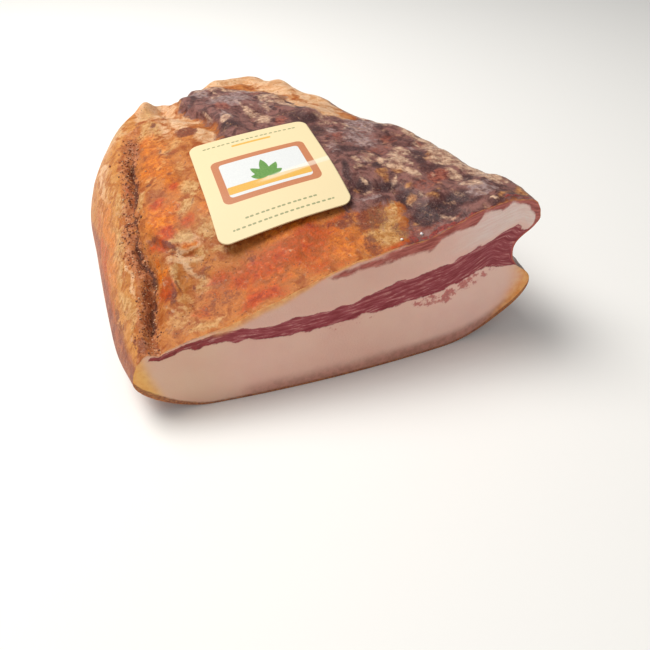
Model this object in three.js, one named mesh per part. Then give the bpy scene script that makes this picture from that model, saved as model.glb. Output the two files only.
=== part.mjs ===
// A cured pork jowl, cut straight across at the front and lying rind side down, with a card on its top.
// Millimetres, +Z up. The cut looks along -Y. All shapes are worked out in the cut's own frame: x along
// the cut from near its lower left corner, y straight back from the cut, z up from the surface below.
// At the end everything is moved so that the origin is at the bottom centre of the block's box.

import * as THREE from 'three';
import { mergeVertices } from 'three/addons/utils/BufferGeometryUtils.js';

// Waist outline seen from above, as [x, y] corners of a smooth curve that ends at the far tip
const LEFT_SIDE = [
  [-20.8, 0],
  [-24.8, 18],
  [-26.6, 42],
  [-27.9, 86],
  [-28, 125],
  [-18.5, 160],
  [7, 184],
  [39, 199],
  [56, 207],
  [70, 210],
];
const RIGHT_SIDE = [
  [149, 0],
  [150, 17],
  [145, 43],
  [138, 75],
  [127.5, 105],
  [114.5, 136],
  [102, 166],
  [86, 203],
  [70, 210],
];

// Heights and roundings of the slab
const WAIST = {
  left: 16,
  right: 24,
  leftX: -28,
  rightX: 150,
  evenFrom: 56,
  evenTo: 188,
  backRise: 6,
  riseFrom: 28,
  riseTo: 140,
};
const CUT_EDGE = { low: 32, slope: 0.275, length: 127, swellX: 53, swell: 3.2, swellWidth: 20 };
const CROWN = {
  crest: 65.5,
  crestDrop: 0.00043,
  dropFrom: 75,
  ridgeX: 105,
  ridgeLean: 0.35,
  ridgeEnd: 131,
  left: 0.00187,
  right: 0.00128,
  reach: 56,
};
const RIM = {
  left: 20,
  leftAtCut: 7.5,
  leftFrom: -5,
  leftTo: 52,
  leftPower: 1.5,
  right: 16,
  rightAtCut: 11,
  rightFrom: 5,
  rightTo: 38,
  rightPower: 2.6,
};
const HEEL = { left: 27, right: 39, power: 1.7 };

// Relief: the peppered crease beside the left wall, the fold at the back, the ledge along the rim there,
// the groove where the lean has shrunk at the right end of the cut, the forward bulge of the lower cut,
// and the soft lumps and crags of the top
const CREASE = {
  line: [[-10, -1], [-8.5, 17], [-5, 32], [-7.5, 47], [-7.5, 64], [-4.5, 82], [-2, 108], [2, 130]],
  depth: 5,
  width: 4,
  atCut: 0.15,
  fullFrom: 22,
  halfFrom: 45,
  halfTo: 65,
  endFrom: 115,
  endTo: 145,
};

// Bumps and dips of the top: the flap beside the crease, the shoulder and the notch where the fold meets
// the outline, and three low places of the back rim
const BUMPS = [
  { x: 1.5, y: 26, height: 2.6, halfWidth: 4, halfLength: 13 },
  { x: 11, y: 164, height: 5.5, halfWidth: 6, halfLength: 8 },
  { x: 26, y: 174, height: -9.5, halfWidth: 8, halfLength: 9 },
  { x: 42, y: 180, height: -2.5, halfWidth: 7, halfLength: 6 },
  { x: 83, y: 187, height: -4, halfWidth: 10, halfLength: 10 },
  { x: 113, y: 112, height: -3, halfWidth: 11, halfLength: 18 },
];
const FOLD = {
  line: [[10, 178], [15, 165], [20, 152], [25, 141], [32, 131], [36, 119], [36, 104]],
  depth: 3.6,
  width: 5.5,
  lip: 2.2,
  lipInset: 9,
  lipWidth: 7,
};
const RIM_LEDGE = { inset: 27, depth: 1.6, width: 4.5, from: 120, to: 165 };
const SHRINK = { depth: 12, height: 42, halfHeight: 10.5, from: 103, to: 150, fadeFrom: 18, fadeTo: 140 };
const BOW = { depth: 5.2, middle: 58, half: 79, height: 56, reach: 42 };
const WAVES = { turn: 2.4, firstTurn: 0.7, shift: 1.3, shrink: 0.9, fade: 0.82 };
const LUMPS = { size: 43, height: 0.5, count: 7 };
const CRAGS = { size: 17, height: 0.22, count: 6, onFat: 0.4, lean: 0.25, leanFrom: 70, leanTo: 110 };

// The card on the top, and how much of the relief stays under it
const CARD = { width: 54.7, length: 64.8, thickness: 0.5, corner: 4.5, x: 49, y: 59.8, gap: 0.35, bend: 0.5 };
const CARD_BED = { relief: 0.1, from: 0.5, to: 0.66 };

// Mesh fineness, how close to the rim a point counts as on it, and how close points count as one
const ACROSS = 57;
const BACK = 50;
const CUT_ROWS = 6;
const BOTTOM_STEP = 3;
const LINE_STEPS = 90;
const ON_RIM = 1e-6;
const ONE_PLACE = 1e-4;
const CARD_COLUMNS = 12;
const CARD_ROWS = 14;
const CORNER_ROWS = 4;

const { lerp, smoothstep } = THREE.MathUtils;

const spacedLine = (corners) => {
  const points = corners.map(([x, y]) => new THREE.Vector3(x, y, 0));
  return new THREE.CatmullRomCurve3(points, false, 'centripetal').getSpacedPoints(LINE_STEPS);
};

const leftLine = spacedLine(LEFT_SIDE);
const rightLine = spacedLine(RIGHT_SIDE);
const creaseLine = spacedLine(CREASE.line);
const foldLine = spacedLine(FOLD.line);

// Bell curve of height 1 and the given half width
const bell = (distance, width) => Math.exp(-((distance / width) ** 2));

// Distance from (x, y) to a line, positive to the right of its way
function distanceTo(line, x, y) {
  let best = Infinity;
  let side = 1;
  for (let i = 1; i < line.length; i += 1) {
    const start = line[i - 1];
    const ex = line[i].x - start.x;
    const ey = line[i].y - start.y;
    const rx = x - start.x;
    const ry = y - start.y;
    const t = THREE.MathUtils.clamp((rx * ex + ry * ey) / (ex * ex + ey * ey), 0, 1);
    const gap = Math.hypot(rx - t * ex, ry - t * ey);
    if (gap < best) {
      best = gap;
      side = ey * rx - ex * ry < 0 ? -1 : 1;
    }
  }
  return best * side;
}

// Rises from 0 at the rim to 1 at the radius, as a rounded edge: 1 - (1 - d / r) ^ p, to the power 1 / p.
// It is exactly 0 for a point on the rim, so that the surfaces above and below meet there.
function roundedRise(distance, radius, power) {
  const inwards = Math.abs(distance) < ON_RIM ? 0 : Math.abs(distance);
  const rest = THREE.MathUtils.clamp(1 - inwards / radius, 0, 1);
  return (1 - rest ** power) ** (1 / power);
}

// Sum of sine waves in spread directions, each shorter and lower than the last
function waves(x, y, size, count) {
  let sum = 0;
  for (let i = 0; i < count; i += 1) {
    const turn = WAVES.turn * i + WAVES.firstTurn;
    const pace = (2 * Math.PI) / (size * WAVES.shrink ** i);
    const run = Math.cos(turn) * x + Math.sin(turn) * y;
    sum += WAVES.fade ** i * Math.sin(pace * run + WAVES.shift * i * i);
  }
  return sum;
}

// Height of the widest outline, a little higher at the back and at the right end of the cut
function waistHeight(x, y) {
  const across = THREE.MathUtils.clamp((x - WAIST.leftX) / (WAIST.rightX - WAIST.leftX), 0, 1);
  const toRight = across * (1 - smoothstep(y, WAIST.evenFrom, WAIST.evenTo));
  const atBack = smoothstep(y, WAIST.riseFrom, WAIST.riseTo);
  return lerp(WAIST.left, WAIST.right, toRight) + WAIST.backRise * atBack;
}

// Upper surface before its rims turn down: the sloping edge of the cut goes over into a low dome,
// without any relief
function smoothCrown(x, y) {
  const slope = CUT_EDGE.low + CUT_EDGE.slope * THREE.MathUtils.clamp(x, 0, CUT_EDGE.length);
  const edge = slope + CUT_EDGE.swell * bell(x - CUT_EDGE.swellX, CUT_EDGE.swellWidth);
  const ridge = CROWN.ridgeX - CROWN.ridgeLean * Math.min(y, CROWN.ridgeEnd);
  const crest = CROWN.crest - CROWN.crestDrop * Math.max(y - CROWN.dropFrom, 0) ** 2;
  const dome = crest - (x < ridge ? CROWN.left : CROWN.right) * (x - ridge) ** 2;
  return lerp(edge, dome, smoothstep(y, 0, CROWN.reach));
}

// Crease, bumps, fold, ledge, lumps and crags, added to the smooth upper surface
function relief(x, y) {
  const crease = distanceTo(creaseLine, x, y);
  const fold = distanceTo(foldLine, x, y);
  const rim = Math.min(Math.abs(distanceTo(leftLine, x, y)), Math.abs(distanceTo(rightLine, x, y)));
  const atBack = smoothstep(y, RIM_LEDGE.from, RIM_LEDGE.to);
  const onLean = lerp(CRAGS.onFat, 1, smoothstep(x + CRAGS.lean * y, CRAGS.leanFrom, CRAGS.leanTo));
  const besideCard = Math.max(Math.abs(x - CARD.x) / CARD.width, Math.abs(y - CARD.y) / CARD.length);
  const bed = lerp(CARD_BED.relief, 1, smoothstep(besideCard, CARD_BED.from, CARD_BED.to));
  const opened = lerp(CREASE.atCut, 1, smoothstep(y, 0, CREASE.fullFrom));
  const halved = 1 - smoothstep(y, CREASE.halfFrom, CREASE.halfTo) / 2;
  const ended = 1 - smoothstep(y, CREASE.endFrom, CREASE.endTo);
  const bumps = BUMPS.reduce(
    (sum, bump) => sum + bump.height * bell(x - bump.x, bump.halfWidth) * bell(y - bump.y, bump.halfLength),
    0,
  );
  return (
    bumps -
    CREASE.depth * opened * halved * ended * bell(crease, CREASE.width) -
    FOLD.depth * bell(fold, FOLD.width) +
    FOLD.lip * bell(fold + FOLD.lipInset, FOLD.lipWidth) -
    RIM_LEDGE.depth * bell(rim - RIM_LEDGE.inset, RIM_LEDGE.width) * atBack +
    LUMPS.height * waves(x, y, LUMPS.size, LUMPS.count) * bed +
    CRAGS.height * waves(y, x, CRAGS.size, CRAGS.count) * onLean * bed
  );
}

function topHeight(x, y) {
  const toLeft = distanceTo(leftLine, x, y);
  const toRight = distanceTo(rightLine, x, y);
  const leftRadius = lerp(RIM.leftAtCut, RIM.left, smoothstep(y, RIM.leftFrom, RIM.leftTo));
  const rightRadius = lerp(RIM.rightAtCut, RIM.right, smoothstep(y, RIM.rightFrom, RIM.rightTo));
  const leftRise = roundedRise(toLeft, leftRadius, RIM.leftPower);
  const rise = leftRise * roundedRise(toRight, rightRadius, RIM.rightPower);
  const waist = waistHeight(x, y);
  return waist + (smoothCrown(x, y) + relief(x, y) - waist) * rise;
}

function bottomHeight(x, y) {
  const left = roundedRise(distanceTo(leftLine, x, y), HEEL.left, HEEL.power);
  const right = roundedRise(distanceTo(rightLine, x, y), HEEL.right, HEEL.power);
  return waistHeight(x, y) * (1 - left * right);
}

// The lean has dried and drawn in at the right end, and the lower part of the cut bulges forwards
function drawnIn(x, y, z) {
  const band = Math.exp(-(Math.abs((z - SHRINK.height) / SHRINK.halfHeight) ** 3));
  const place = smoothstep(x, SHRINK.from, SHRINK.to) * (1 - smoothstep(y, SHRINK.fadeFrom, SHRINK.fadeTo));
  const across = Math.max(1 - ((x - BOW.middle) / BOW.half) ** 2, 0);
  const bulge = across * Math.max(1 - z / BOW.height, 0) * (1 - smoothstep(y, 0, BOW.reach));
  return new THREE.Vector3(x - SHRINK.depth * band * place, y - BOW.depth * bulge, z);
}

// Plan point: a runs across from the left side to the right one, closer together at both sides,
// and b runs back from the cut to the far tip
function planPoint(a, b) {
  const index = b * LINE_STEPS;
  const first = Math.min(Math.floor(index), LINE_STEPS - 1);
  const left = leftLine[first].clone().lerp(leftLine[first + 1], index - first);
  const right = rightLine[first].clone().lerp(rightLine[first + 1], index - first);
  return left.lerp(right, (1 - Math.cos(Math.PI * a)) / 2);
}

// Closed mesh from a list of triangles; those with two corners in one place are left out
function closedGeometry(triangles) {
  const shortest = ([p, q, r]) => Math.min(p.distanceTo(q), q.distanceTo(r), r.distanceTo(p));
  const full = triangles.filter((triangle) => shortest(triangle) > ONE_PLACE);
  const soup = new THREE.BufferGeometry();
  soup.setAttribute('position', new THREE.Float32BufferAttribute(full.flat().flatMap((p) => p.toArray()), 3));
  const merged = mergeVertices(soup, ONE_PLACE);
  merged.computeVertexNormals();
  return merged;
}

// Two triangles for each cell of a grid of points; flip turns them over
function gridTriangles(rows, flip) {
  const triangles = [];
  for (let i = 1; i < rows.length; i += 1) {
    for (let j = 1; j < rows[i].length; j += 1) {
      const [p, q, r, s] = [rows[i - 1][j - 1], rows[i - 1][j], rows[i][j], rows[i][j - 1]];
      triangles.push(...(flip ? [[p, r, q], [p, s, r]] : [[p, q, r], [p, r, s]]));
    }
  }
  return triangles;
}

function sheet(columns, height) {
  return Array.from({ length: BACK + 1 }, (_, row) =>
    Array.from({ length: columns + 1 }, (__, column) => {
      const { x, y } = planPoint(column / columns, row / BACK);
      return drawnIn(x, y, height(x, y));
    }),
  );
}

// The cut: rows from just above the lower edge up to the upper edge
function cutRows() {
  return Array.from({ length: CUT_ROWS }, (_, row) =>
    Array.from({ length: ACROSS + 1 }, (__, column) => {
      const { x, y } = planPoint(column / ACROSS, 0);
      const low = bottomHeight(x, y);
      return drawnIn(x, y, lerp(low, topHeight(x, y), (row + 1) / CUT_ROWS));
    }),
  );
}

// Joins the lower edge to the first row of the cut, which has BOTTOM_STEP times as many points
function seamTriangles(low, row) {
  const triangles = [];
  for (let j = 0; j < low.length - 1; j += 1) {
    const first = j * BOTTOM_STEP;
    for (let k = 0; k < BOTTOM_STEP; k += 1) {
      triangles.push([low[j], row[first + k + 1], row[first + k]]);
    }
    triangles.push([low[j], low[j + 1], row[first + BOTTOM_STEP]]);
  }
  return triangles;
}

function jowlBlock() {
  const top = sheet(ACROSS, topHeight);
  const bottom = sheet(ACROSS / BOTTOM_STEP, bottomHeight);
  const cut = cutRows();
  const geometry = closedGeometry([
    ...gridTriangles(top, false),
    ...gridTriangles(bottom, true),
    ...gridTriangles(cut, false),
    ...seamTriangles(bottom[0], cut[0]),
  ]);
  const material = new THREE.MeshStandardMaterial({ color: '#b9774f', roughness: 0.55, metalness: 0 });
  const mesh = new THREE.Mesh(geometry, material);
  mesh.name = 'jowl_block';
  return mesh;
}

// Rows of the card from front to back, closer together along the rounded corners
function cardStations() {
  const straight = CARD.length / 2 - CARD.corner;
  const stations = [];
  for (let i = 0; i <= CORNER_ROWS; i += 1) {
    const angle = (i / CORNER_ROWS) * (Math.PI / 2);
    const offset = straight + CARD.corner * Math.cos(angle);
    stations.push({ v: -offset, half: CARD.width / 2 - CARD.corner * (1 - Math.sin(angle)) });
  }
  for (let i = 1; i < CARD_ROWS; i += 1) {
    stations.push({ v: lerp(-straight, straight, i / CARD_ROWS), half: CARD.width / 2 });
  }
  const far = stations.slice(0, CORNER_ROWS + 1).reverse();
  return stations.concat(far.map(({ v, half }) => ({ v: -v, half })));
}

// Height of the card before it is lifted: between a flat sheet and the smooth top, by how far it bends
function cardHeight(x, y) {
  const { width, length, bend } = CARD;
  const toRight = (smoothCrown(CARD.x + width / 2, CARD.y) - smoothCrown(CARD.x - width / 2, CARD.y)) / width;
  const toBack = (smoothCrown(CARD.x, CARD.y + length / 2) - smoothCrown(CARD.x, CARD.y - length / 2)) / length;
  const flat = smoothCrown(CARD.x, CARD.y) + (x - CARD.x) * toRight + (y - CARD.y) * toBack;
  return lerp(flat, smoothCrown(x, y), bend);
}

// The card lies on the highest bumps below it
function labelCard() {
  const plan = cardStations().map(({ v, half }) =>
    Array.from({ length: CARD_COLUMNS + 1 }, (_, column) => [
      CARD.x + lerp(-half, half, column / CARD_COLUMNS),
      CARD.y + v,
    ]),
  );
  const lift = CARD.gap + Math.max(...plan.flat().map(([x, y]) => topHeight(x, y) - cardHeight(x, y)));
  const layer = (raise) =>
    plan.map((row) => row.map(([x, y]) => new THREE.Vector3(x, y, cardHeight(x, y) + lift + raise)));
  const low = layer(0);
  const high = layer(CARD.thickness);
  const last = low.length - 1;
  const wall = (from, to) => gridTriangles([from, to], false);
  const geometry = closedGeometry([
    ...gridTriangles(high, false),
    ...gridTriangles(low, true),
    ...wall(low[0], high[0]),
    ...wall(high[last], low[last]),
    ...wall(high.map((row) => row[0]), low.map((row) => row[0])),
    ...wall(low.map((row) => row[CARD_COLUMNS]), high.map((row) => row[CARD_COLUMNS])),
  ]);
  const material = new THREE.MeshStandardMaterial({ color: '#f7e6b9', roughness: 0.6, metalness: 0 });
  const mesh = new THREE.Mesh(geometry, material);
  mesh.name = 'label_card';
  return mesh;
}

const guanciale = new THREE.Group();
const block = jowlBlock();
const label = labelCard();
const box = new THREE.Box3().setFromObject(block);
for (const mesh of [block, label]) {
  mesh.position.set(-(box.min.x + box.max.x) / 2, -(box.min.y + box.max.y) / 2, -box.min.z);
  guanciale.add(mesh);
}

export default guanciale;
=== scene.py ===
# A cured pork jowl in one piece, cut straight across at the front and lying rind side down, with a small
# card on its dried and spiced top. Shapes are worked out in millimetres in the cut's own frame, as in the
# part's source: x along the cut from near its lower left corner, y straight back from the cut and z up
# from the surface below. place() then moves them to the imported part's frame, in metres.

import bmesh
import bpy
import numpy as np
from functools import partial
from mathutils import Matrix, Vector
from types import SimpleNamespace as Values


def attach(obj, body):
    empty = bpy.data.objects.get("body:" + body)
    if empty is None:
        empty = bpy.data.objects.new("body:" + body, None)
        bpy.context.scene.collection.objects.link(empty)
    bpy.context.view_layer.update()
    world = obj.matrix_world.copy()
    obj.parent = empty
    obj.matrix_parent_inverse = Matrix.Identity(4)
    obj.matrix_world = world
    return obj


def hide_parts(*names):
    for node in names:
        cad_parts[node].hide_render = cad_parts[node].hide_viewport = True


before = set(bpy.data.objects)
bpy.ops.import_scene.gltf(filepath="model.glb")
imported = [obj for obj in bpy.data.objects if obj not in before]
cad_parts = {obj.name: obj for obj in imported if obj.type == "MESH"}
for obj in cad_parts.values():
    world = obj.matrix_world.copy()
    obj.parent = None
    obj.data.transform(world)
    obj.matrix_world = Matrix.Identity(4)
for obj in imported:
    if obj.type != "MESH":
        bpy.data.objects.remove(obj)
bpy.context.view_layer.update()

MM = 0.001
PART_ORIGIN = np.array([60.622, 102.4, 0])

# Waist outline seen from above, both sides ending at the far tip
LEFT_SIDE = [
    (-20.8, 0), (-24.8, 18), (-26.6, 42), (-27.9, 86), (-28, 125), (-18.5, 160), (7, 184), (39, 199),
    (56, 207), (70, 210)]
RIGHT_SIDE = [
    (149, 0), (150, 17), (145, 43), (138, 75), (127.5, 105), (114.5, 136), (102, 166), (86, 203), (70, 210)]

# Heights and roundings of the slab
WAIST = Values(left=16, right=24, left_x=-28, right_x=150, even=(56, 188), back_rise=6, rise=(28, 140))
CUT_EDGE = Values(low=32, slope=0.275, length=127, swell_x=53, swell=3.2, swell_width=20)
CROWN = Values(
    crest=65.5, crest_drop=0.00043, drop_from=75, ridge_x=105, ridge_lean=0.35, ridge_end=131,
    left=0.00187, right=0.00128, reach=56)
RIM = Values(
    left=(7.5, 20), left_range=(-5, 52), left_power=1.5, right=(11, 16), right_range=(5, 38), right_power=2.6)
HEEL = Values(left=27, right=39, power=1.7)

# Relief that the part's solid has too. Each bump has its x, y, height, half width and half length.
CREASE = Values(
    line=[(-10, -1), (-8.5, 17), (-5, 32), (-7.5, 47), (-7.5, 64), (-4.5, 82), (-2, 108), (2, 130)],
    depth=5, width=4, at_cut=0.15, full_from=22, halved=(45, 65), ended=(115, 145))
BUMPS = [
    (1.5, 26, 2.6, 4, 13), (11, 164, 5.5, 6, 8), (26, 174, -9.5, 8, 9), (42, 180, -2.5, 7, 6),
    (83, 187, -4, 10, 10), (113, 112, -3, 11, 18)]
FOLD = Values(
    line=[(10, 178), (15, 165), (20, 152), (25, 141), (32, 131), (36, 119), (36, 104)],
    depth=3.6, width=5.5, lip=2.2, lip_inset=9, lip_width=7)
LEDGE = Values(inset=27, depth=1.6, width=4.5, range=(120, 165))
SHRINK = Values(depth=12, height=42, half_height=10.5, power=3, along=(103, 150), fade=(18, 140))
BOW = Values(depth=5.2, middle=58, half=79, height=56, reach=42)
WAVES = Values(turn=2.4, first_turn=0.7, shift=1.3, shrink=0.9, fade=0.82)
LUMPS = Values(size=43, height=0.5, count=7)
CRAGS = Values(size=17, height=0.22, count=6, on_fat=0.4, lean=0.25, lean_range=(70, 110))

# Large numbers that scramble the place of a lattice corner into its random value
SCRAMBLE_PLACE = (73856093, 19349663, 83492791)
SCRAMBLE_SEED, SCRAMBLE_FIRST, SCRAMBLE_SECOND = 1013904223, 1274126177, 2246822519

# Relief of the skin that is finer than the solid's: pairs are the heights on fat and on lean
SKIN = Values(
    crag=7.5, crags=(0.36, 0.46), wrinkle=4.2, wrinkles=(0.04, 0.17), wrinkle_turn=107, squeeze=0.28,
    level=0.4, rim=(-2, 2), fleck=0.2, amber=0.15, dark=0.35, spice=2.4, spiced=0.8, calm=0.4, foot=(0, 7))
CRACK = Values(
    aside=0.7, width=1.4, depth=1.5, end=(98, 125), at_cut=0.3, opens=(6, 16), later=0.62, narrows=(34, 60),
    patch=9, patchy=0.7, most=1.1, closed=1.2)
SPICED = Values(aside=2.2, width=5.2, end=(120, 165), patch=8, share=0.9, patchy=0.4)
WALL = Values(beside=(5, 9), end=(150, 190))
RIND = Values(strip=7, strip_end=(85, 125), strip_right=(-15, 0), patch=12, patchy=2, rim=(-2, 7))

# Noises that shift a stain's rim: size, octaves, reach and the seeds for x and y. The stain fades out between
# two shares of its half width.
WARPS = [(11, 2, 2.4, (11, 21)), (4.4, 1, 1.1, (31, 41))]
STAIN_RIM = (0.35, 1.25)

# The card, the share of the relief that is left under it, and its faint fold, where the paper is paler
CARD = Values(width=54.7, length=64.8, thickness=0.5, corner=4.5, x=49, y=59.8, gap=0.35, bend=0.5)
CARD_BED = Values(relief=0.1, range=(0.5, 0.66))
CARD_FOLD = Values(v=-6, slope=0.12, height=0.15, width=1.2, range=(-10, 12), paler=0.8)

# Print on the card from its middle: boxes with middle, half sizes and corner, rows of dashes with height and
# half length, and a fan of leaves with their directions in degrees
CARD_BOXES = {
    "panel": [(0, 0.5, 21, 15, 3)],
    "inner": [(0, 0.5, 17.8, 11.8, 1.6)],
    "bars": [(0, -7.2, 17.8, 2.4, 0.2), (0, 24.4, 9, 0.7, 0.2)],
}
CARD_ROWS = [(27.5, 22), (-23.5, 16), (-27.5, 21)]
DASHES = Values(half=0.45, every=2.2, gap_from=0.55, gap=0.4)
LEAVES = Values(turns=(22, 56, 90, 124, 158), foot=-4.5, length=13, shorter=12, width=1.9, blunt=0.8)

# Grains on the top: cracked pepper along the crease, its strays, and two salt crystals
PEPPER = Values(
    seed=4, count=900, along=0.98, offset=2.6, spread=2.3, stray=0.04, stray_x=(-16, 90), stray_y=(1, 120),
    off_card=1, off_cut=0.8, radius=0.3, radius_spread=0.35, shape=(0.55, 1.1), lift=0.2)
SALT = Values(seed=9, size=0.85, shape=(0.7, 1.2), lift=0.2, places=[(87, 3.8), (95, 3.6)])

# Mesh fineness: steps of the outlines, cells of the grids, and the cut's cells for each of the underside's
CORNER_STEPS, LINE_STEPS = 60, 90
ACROSS, BACK, CUT_ROWS, BOTTOM_STEP = 240, 190, 64, 3
UNDER_BLEND = 0.1
CARD_CELLS, CARD_CLOSER = (116, 140), 1.35
DENSE = 500
ON_RIM = 1e-6
SLOPE_STEP = 0.3
DOUBLES = 1e-7

# Studio: the camera's place in the cut's frame and the lights' in the part's, in millimetres
CAMERA = Values(
    place=(-4.96, -168.49, 180.99), heading=19.558, pitch=41.04, roll=0.44,
    focal_px=600, image_px=650, sensor=36)
FLOOR_WIDTH = 6
SKY = Values(colour="#ffffff", strength=0.3)
LIGHTS = [
    ("overhead", (-350, 260, 820), (0, 0, 0), 0.55, 9.5, "#fffdf8"),
    ("front", (-500, -900, 600), (0, 0, 30), 0.8, 1.8, "#fffaf2"),
]


def linear(colour):
    """Linear red, green and blue, with alpha 1, of an sRGB hex colour."""
    value = np.array([int(colour[i:i + 2], 16) for i in (1, 3, 5)]) / 255
    value = np.where(value <= 0.04045, value / 12.92, ((value + 0.055) / 1.055) ** 2.4)
    return (*value.tolist(), 1.0)


def smoothstep(value, low, high):
    """0 below low, 1 above high, and 3t^2 - 2t^3 between."""
    t = np.clip((value - low) / (high - low), 0, 1)
    return t * t * (3 - 2 * t)


def lerp(start, end, t):
    """Straight mix of two values: start at t = 0 and end at t = 1."""
    return start + (end - start) * t


def bell(distance, width):
    """Bell curve of height 1: e to the power of minus the square of distance over width."""
    return np.exp(-((distance / width) ** 2))


def spaced_line(corners):
    """Centripetal Catmull-Rom curve through the corners, cut into equal steps."""
    p = np.array(corners, float)
    step = np.sqrt(np.hypot(*np.diff(p, axis=0).T))[:, None]
    slope = np.diff(p, axis=0) / step
    inner = (slope[:-1] * step[1:] + slope[1:] * step[:-1]) / (step[1:] + step[:-1])
    tangent = np.vstack([slope[:1], inner, slope[-1:]])
    t = np.linspace(0, 1, CORNER_STEPS)[:, None, None]
    q = ((2 * t**3 - 3 * t**2 + 1) * p[:-1] + (t**3 - 2 * t**2 + t) * step * tangent[:-1]
         + (3 * t**2 - 2 * t**3) * p[1:] + (t**3 - t**2) * step * tangent[1:])
    q = q.transpose(1, 0, 2).reshape(-1, 2)
    run = np.concatenate([[0], np.cumsum(np.hypot(*np.diff(q, axis=0).T))])
    return np.stack([np.interp(np.linspace(0, run[-1], LINE_STEPS + 1), run, q[:, k]) for k in (0, 1)], -1)


def distance_to(line, x, y):
    """Distance from (x, y) to the nearest piece of a line, positive to the right of its way."""
    best = np.full(np.shape(x), np.inf)
    side = np.ones(np.shape(x))
    for start, end in zip(line[:-1], line[1:]):
        ex, ey = end - start
        rx, ry = x - start[0], y - start[1]
        t = np.clip((rx * ex + ry * ey) / (ex * ex + ey * ey), 0, 1)
        gap = np.hypot(rx - t * ex, ry - t * ey)
        near = gap < best
        best = np.where(near, gap, best)
        side = np.where(near, np.where(ey * rx - ex * ry < 0, -1, 1), side)
    return best * side


def rounded_rise(distance, radius, power):
    """Rounded edge: 1 - (1 - d / r) ^ p, to the power 1 / p; 0 at the rim and 1 from the radius on."""
    inwards = np.where(np.abs(distance) < ON_RIM, 0, np.abs(distance))
    rest = np.clip(1 - inwards / radius, 0, 1)
    return (1 - rest**power) ** (1 / power)


def waves(x, y, size, count):
    """Sum of sine waves in spread directions, each shorter and lower than the last."""
    total = 0
    for i in range(count):
        turn = WAVES.turn * i + WAVES.first_turn
        pace = 2 * np.pi / (size * WAVES.shrink ** i)
        run = np.cos(turn) * x + np.sin(turn) * y
        total = total + WAVES.fade ** i * np.sin(pace * run + WAVES.shift * i * i)
    return total


def value_noise(points, size, seed):
    """Random values from -1 to 1 at the corners of a cubic lattice, blended by smoothstep between them."""
    place = points / size
    cell = np.floor(place).astype(np.int64)
    t = place - cell
    t = t * t * (3 - 2 * t)
    total = 0
    for corner in np.ndindex(2, 2, 2):
        key = ((cell + corner) * SCRAMBLE_PLACE).sum(-1) + seed * SCRAMBLE_SEED
        key = (key ^ (key >> 13)) * SCRAMBLE_FIRST & 0xFFFFFFFF
        key = (key ^ (key >> 16)) * SCRAMBLE_SECOND & 0xFFFFFFFF
        weight = np.prod(np.where(corner, t, 1 - t), -1)
        total = total + weight * ((key ^ (key >> 15)) & 0xFFFF)
    return total / 0x7FFF - 1


def rough_noise(points, size, seed, octaves=4):
    """Sum of value noises, each half as large and half as strong as the last."""
    return sum(value_noise(points, size / 2**i, seed + i) / 2**i for i in range(octaves))


LEFT, RIGHT = spaced_line(LEFT_SIDE), spaced_line(RIGHT_SIDE)
CREASE_LINE, FOLD_LINE = spaced_line(CREASE.line), spaced_line(FOLD.line)


def waist_height(x, y):
    """Height of the widest outline: a straight mix from left to right, which evens out backwards, and a rise
    at the back."""
    across = np.clip((x - WAIST.left_x) / (WAIST.right_x - WAIST.left_x), 0, 1)
    to_right = across * (1 - smoothstep(y, *WAIST.even))
    return lerp(WAIST.left, WAIST.right, to_right) + WAIST.back_rise * smoothstep(y, *WAIST.rise)


def smooth_crown(x, y):
    """Top before the rims turn down: a straight slope with one bell at the cut goes over into a dome, which
    is a parabola to each side of a leaning ridge."""
    slope = CUT_EDGE.low + CUT_EDGE.slope * np.clip(x, 0, CUT_EDGE.length)
    edge = slope + CUT_EDGE.swell * bell(x - CUT_EDGE.swell_x, CUT_EDGE.swell_width)
    ridge = CROWN.ridge_x - CROWN.ridge_lean * np.minimum(y, CROWN.ridge_end)
    crest = CROWN.crest - CROWN.crest_drop * np.maximum(y - CROWN.drop_from, 0) ** 2
    dome = crest - np.where(x < ridge, CROWN.left, CROWN.right) * (x - ridge) ** 2
    return lerp(edge, dome, smoothstep(y, 0, CROWN.reach))


def card_bed(x, y):
    """Share of the relief that is left under the card, rising by smoothstep to 1 beside it."""
    beside = np.maximum(np.abs(x - CARD.x) / CARD.width, np.abs(y - CARD.y) / CARD.length)
    return lerp(CARD_BED.relief, 1, smoothstep(beside, *CARD_BED.range))


def relief(x, y):
    """Sum of bells for the crease, the bumps, the fold with its lip and the ledge, and waves for the rest."""
    crease, fold = distance_to(CREASE_LINE, x, y), distance_to(FOLD_LINE, x, y)
    rim = np.minimum(np.abs(distance_to(LEFT, x, y)), np.abs(distance_to(RIGHT, x, y)))
    on_lean = lerp(CRAGS.on_fat, 1, smoothstep(x + CRAGS.lean * y, *CRAGS.lean_range))
    bed = card_bed(x, y)
    opened = lerp(CREASE.at_cut, 1, smoothstep(y, 0, CREASE.full_from))
    halved = 1 - smoothstep(y, *CREASE.halved) / 2
    ended = 1 - smoothstep(y, *CREASE.ended)
    return (-CREASE.depth * opened * halved * ended * bell(crease, CREASE.width)
            + sum(rise * bell(x - bx, half_x) * bell(y - by, half_y) for bx, by, rise, half_x, half_y in BUMPS)
            - FOLD.depth * bell(fold, FOLD.width)
            + FOLD.lip * bell(fold + FOLD.lip_inset, FOLD.lip_width)
            - LEDGE.depth * bell(rim - LEDGE.inset, LEDGE.width) * smoothstep(y, *LEDGE.range)
            + LUMPS.height * waves(x, y, LUMPS.size, LUMPS.count) * bed
            + CRAGS.height * waves(y, x, CRAGS.size, CRAGS.count) * on_lean * bed)


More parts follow.
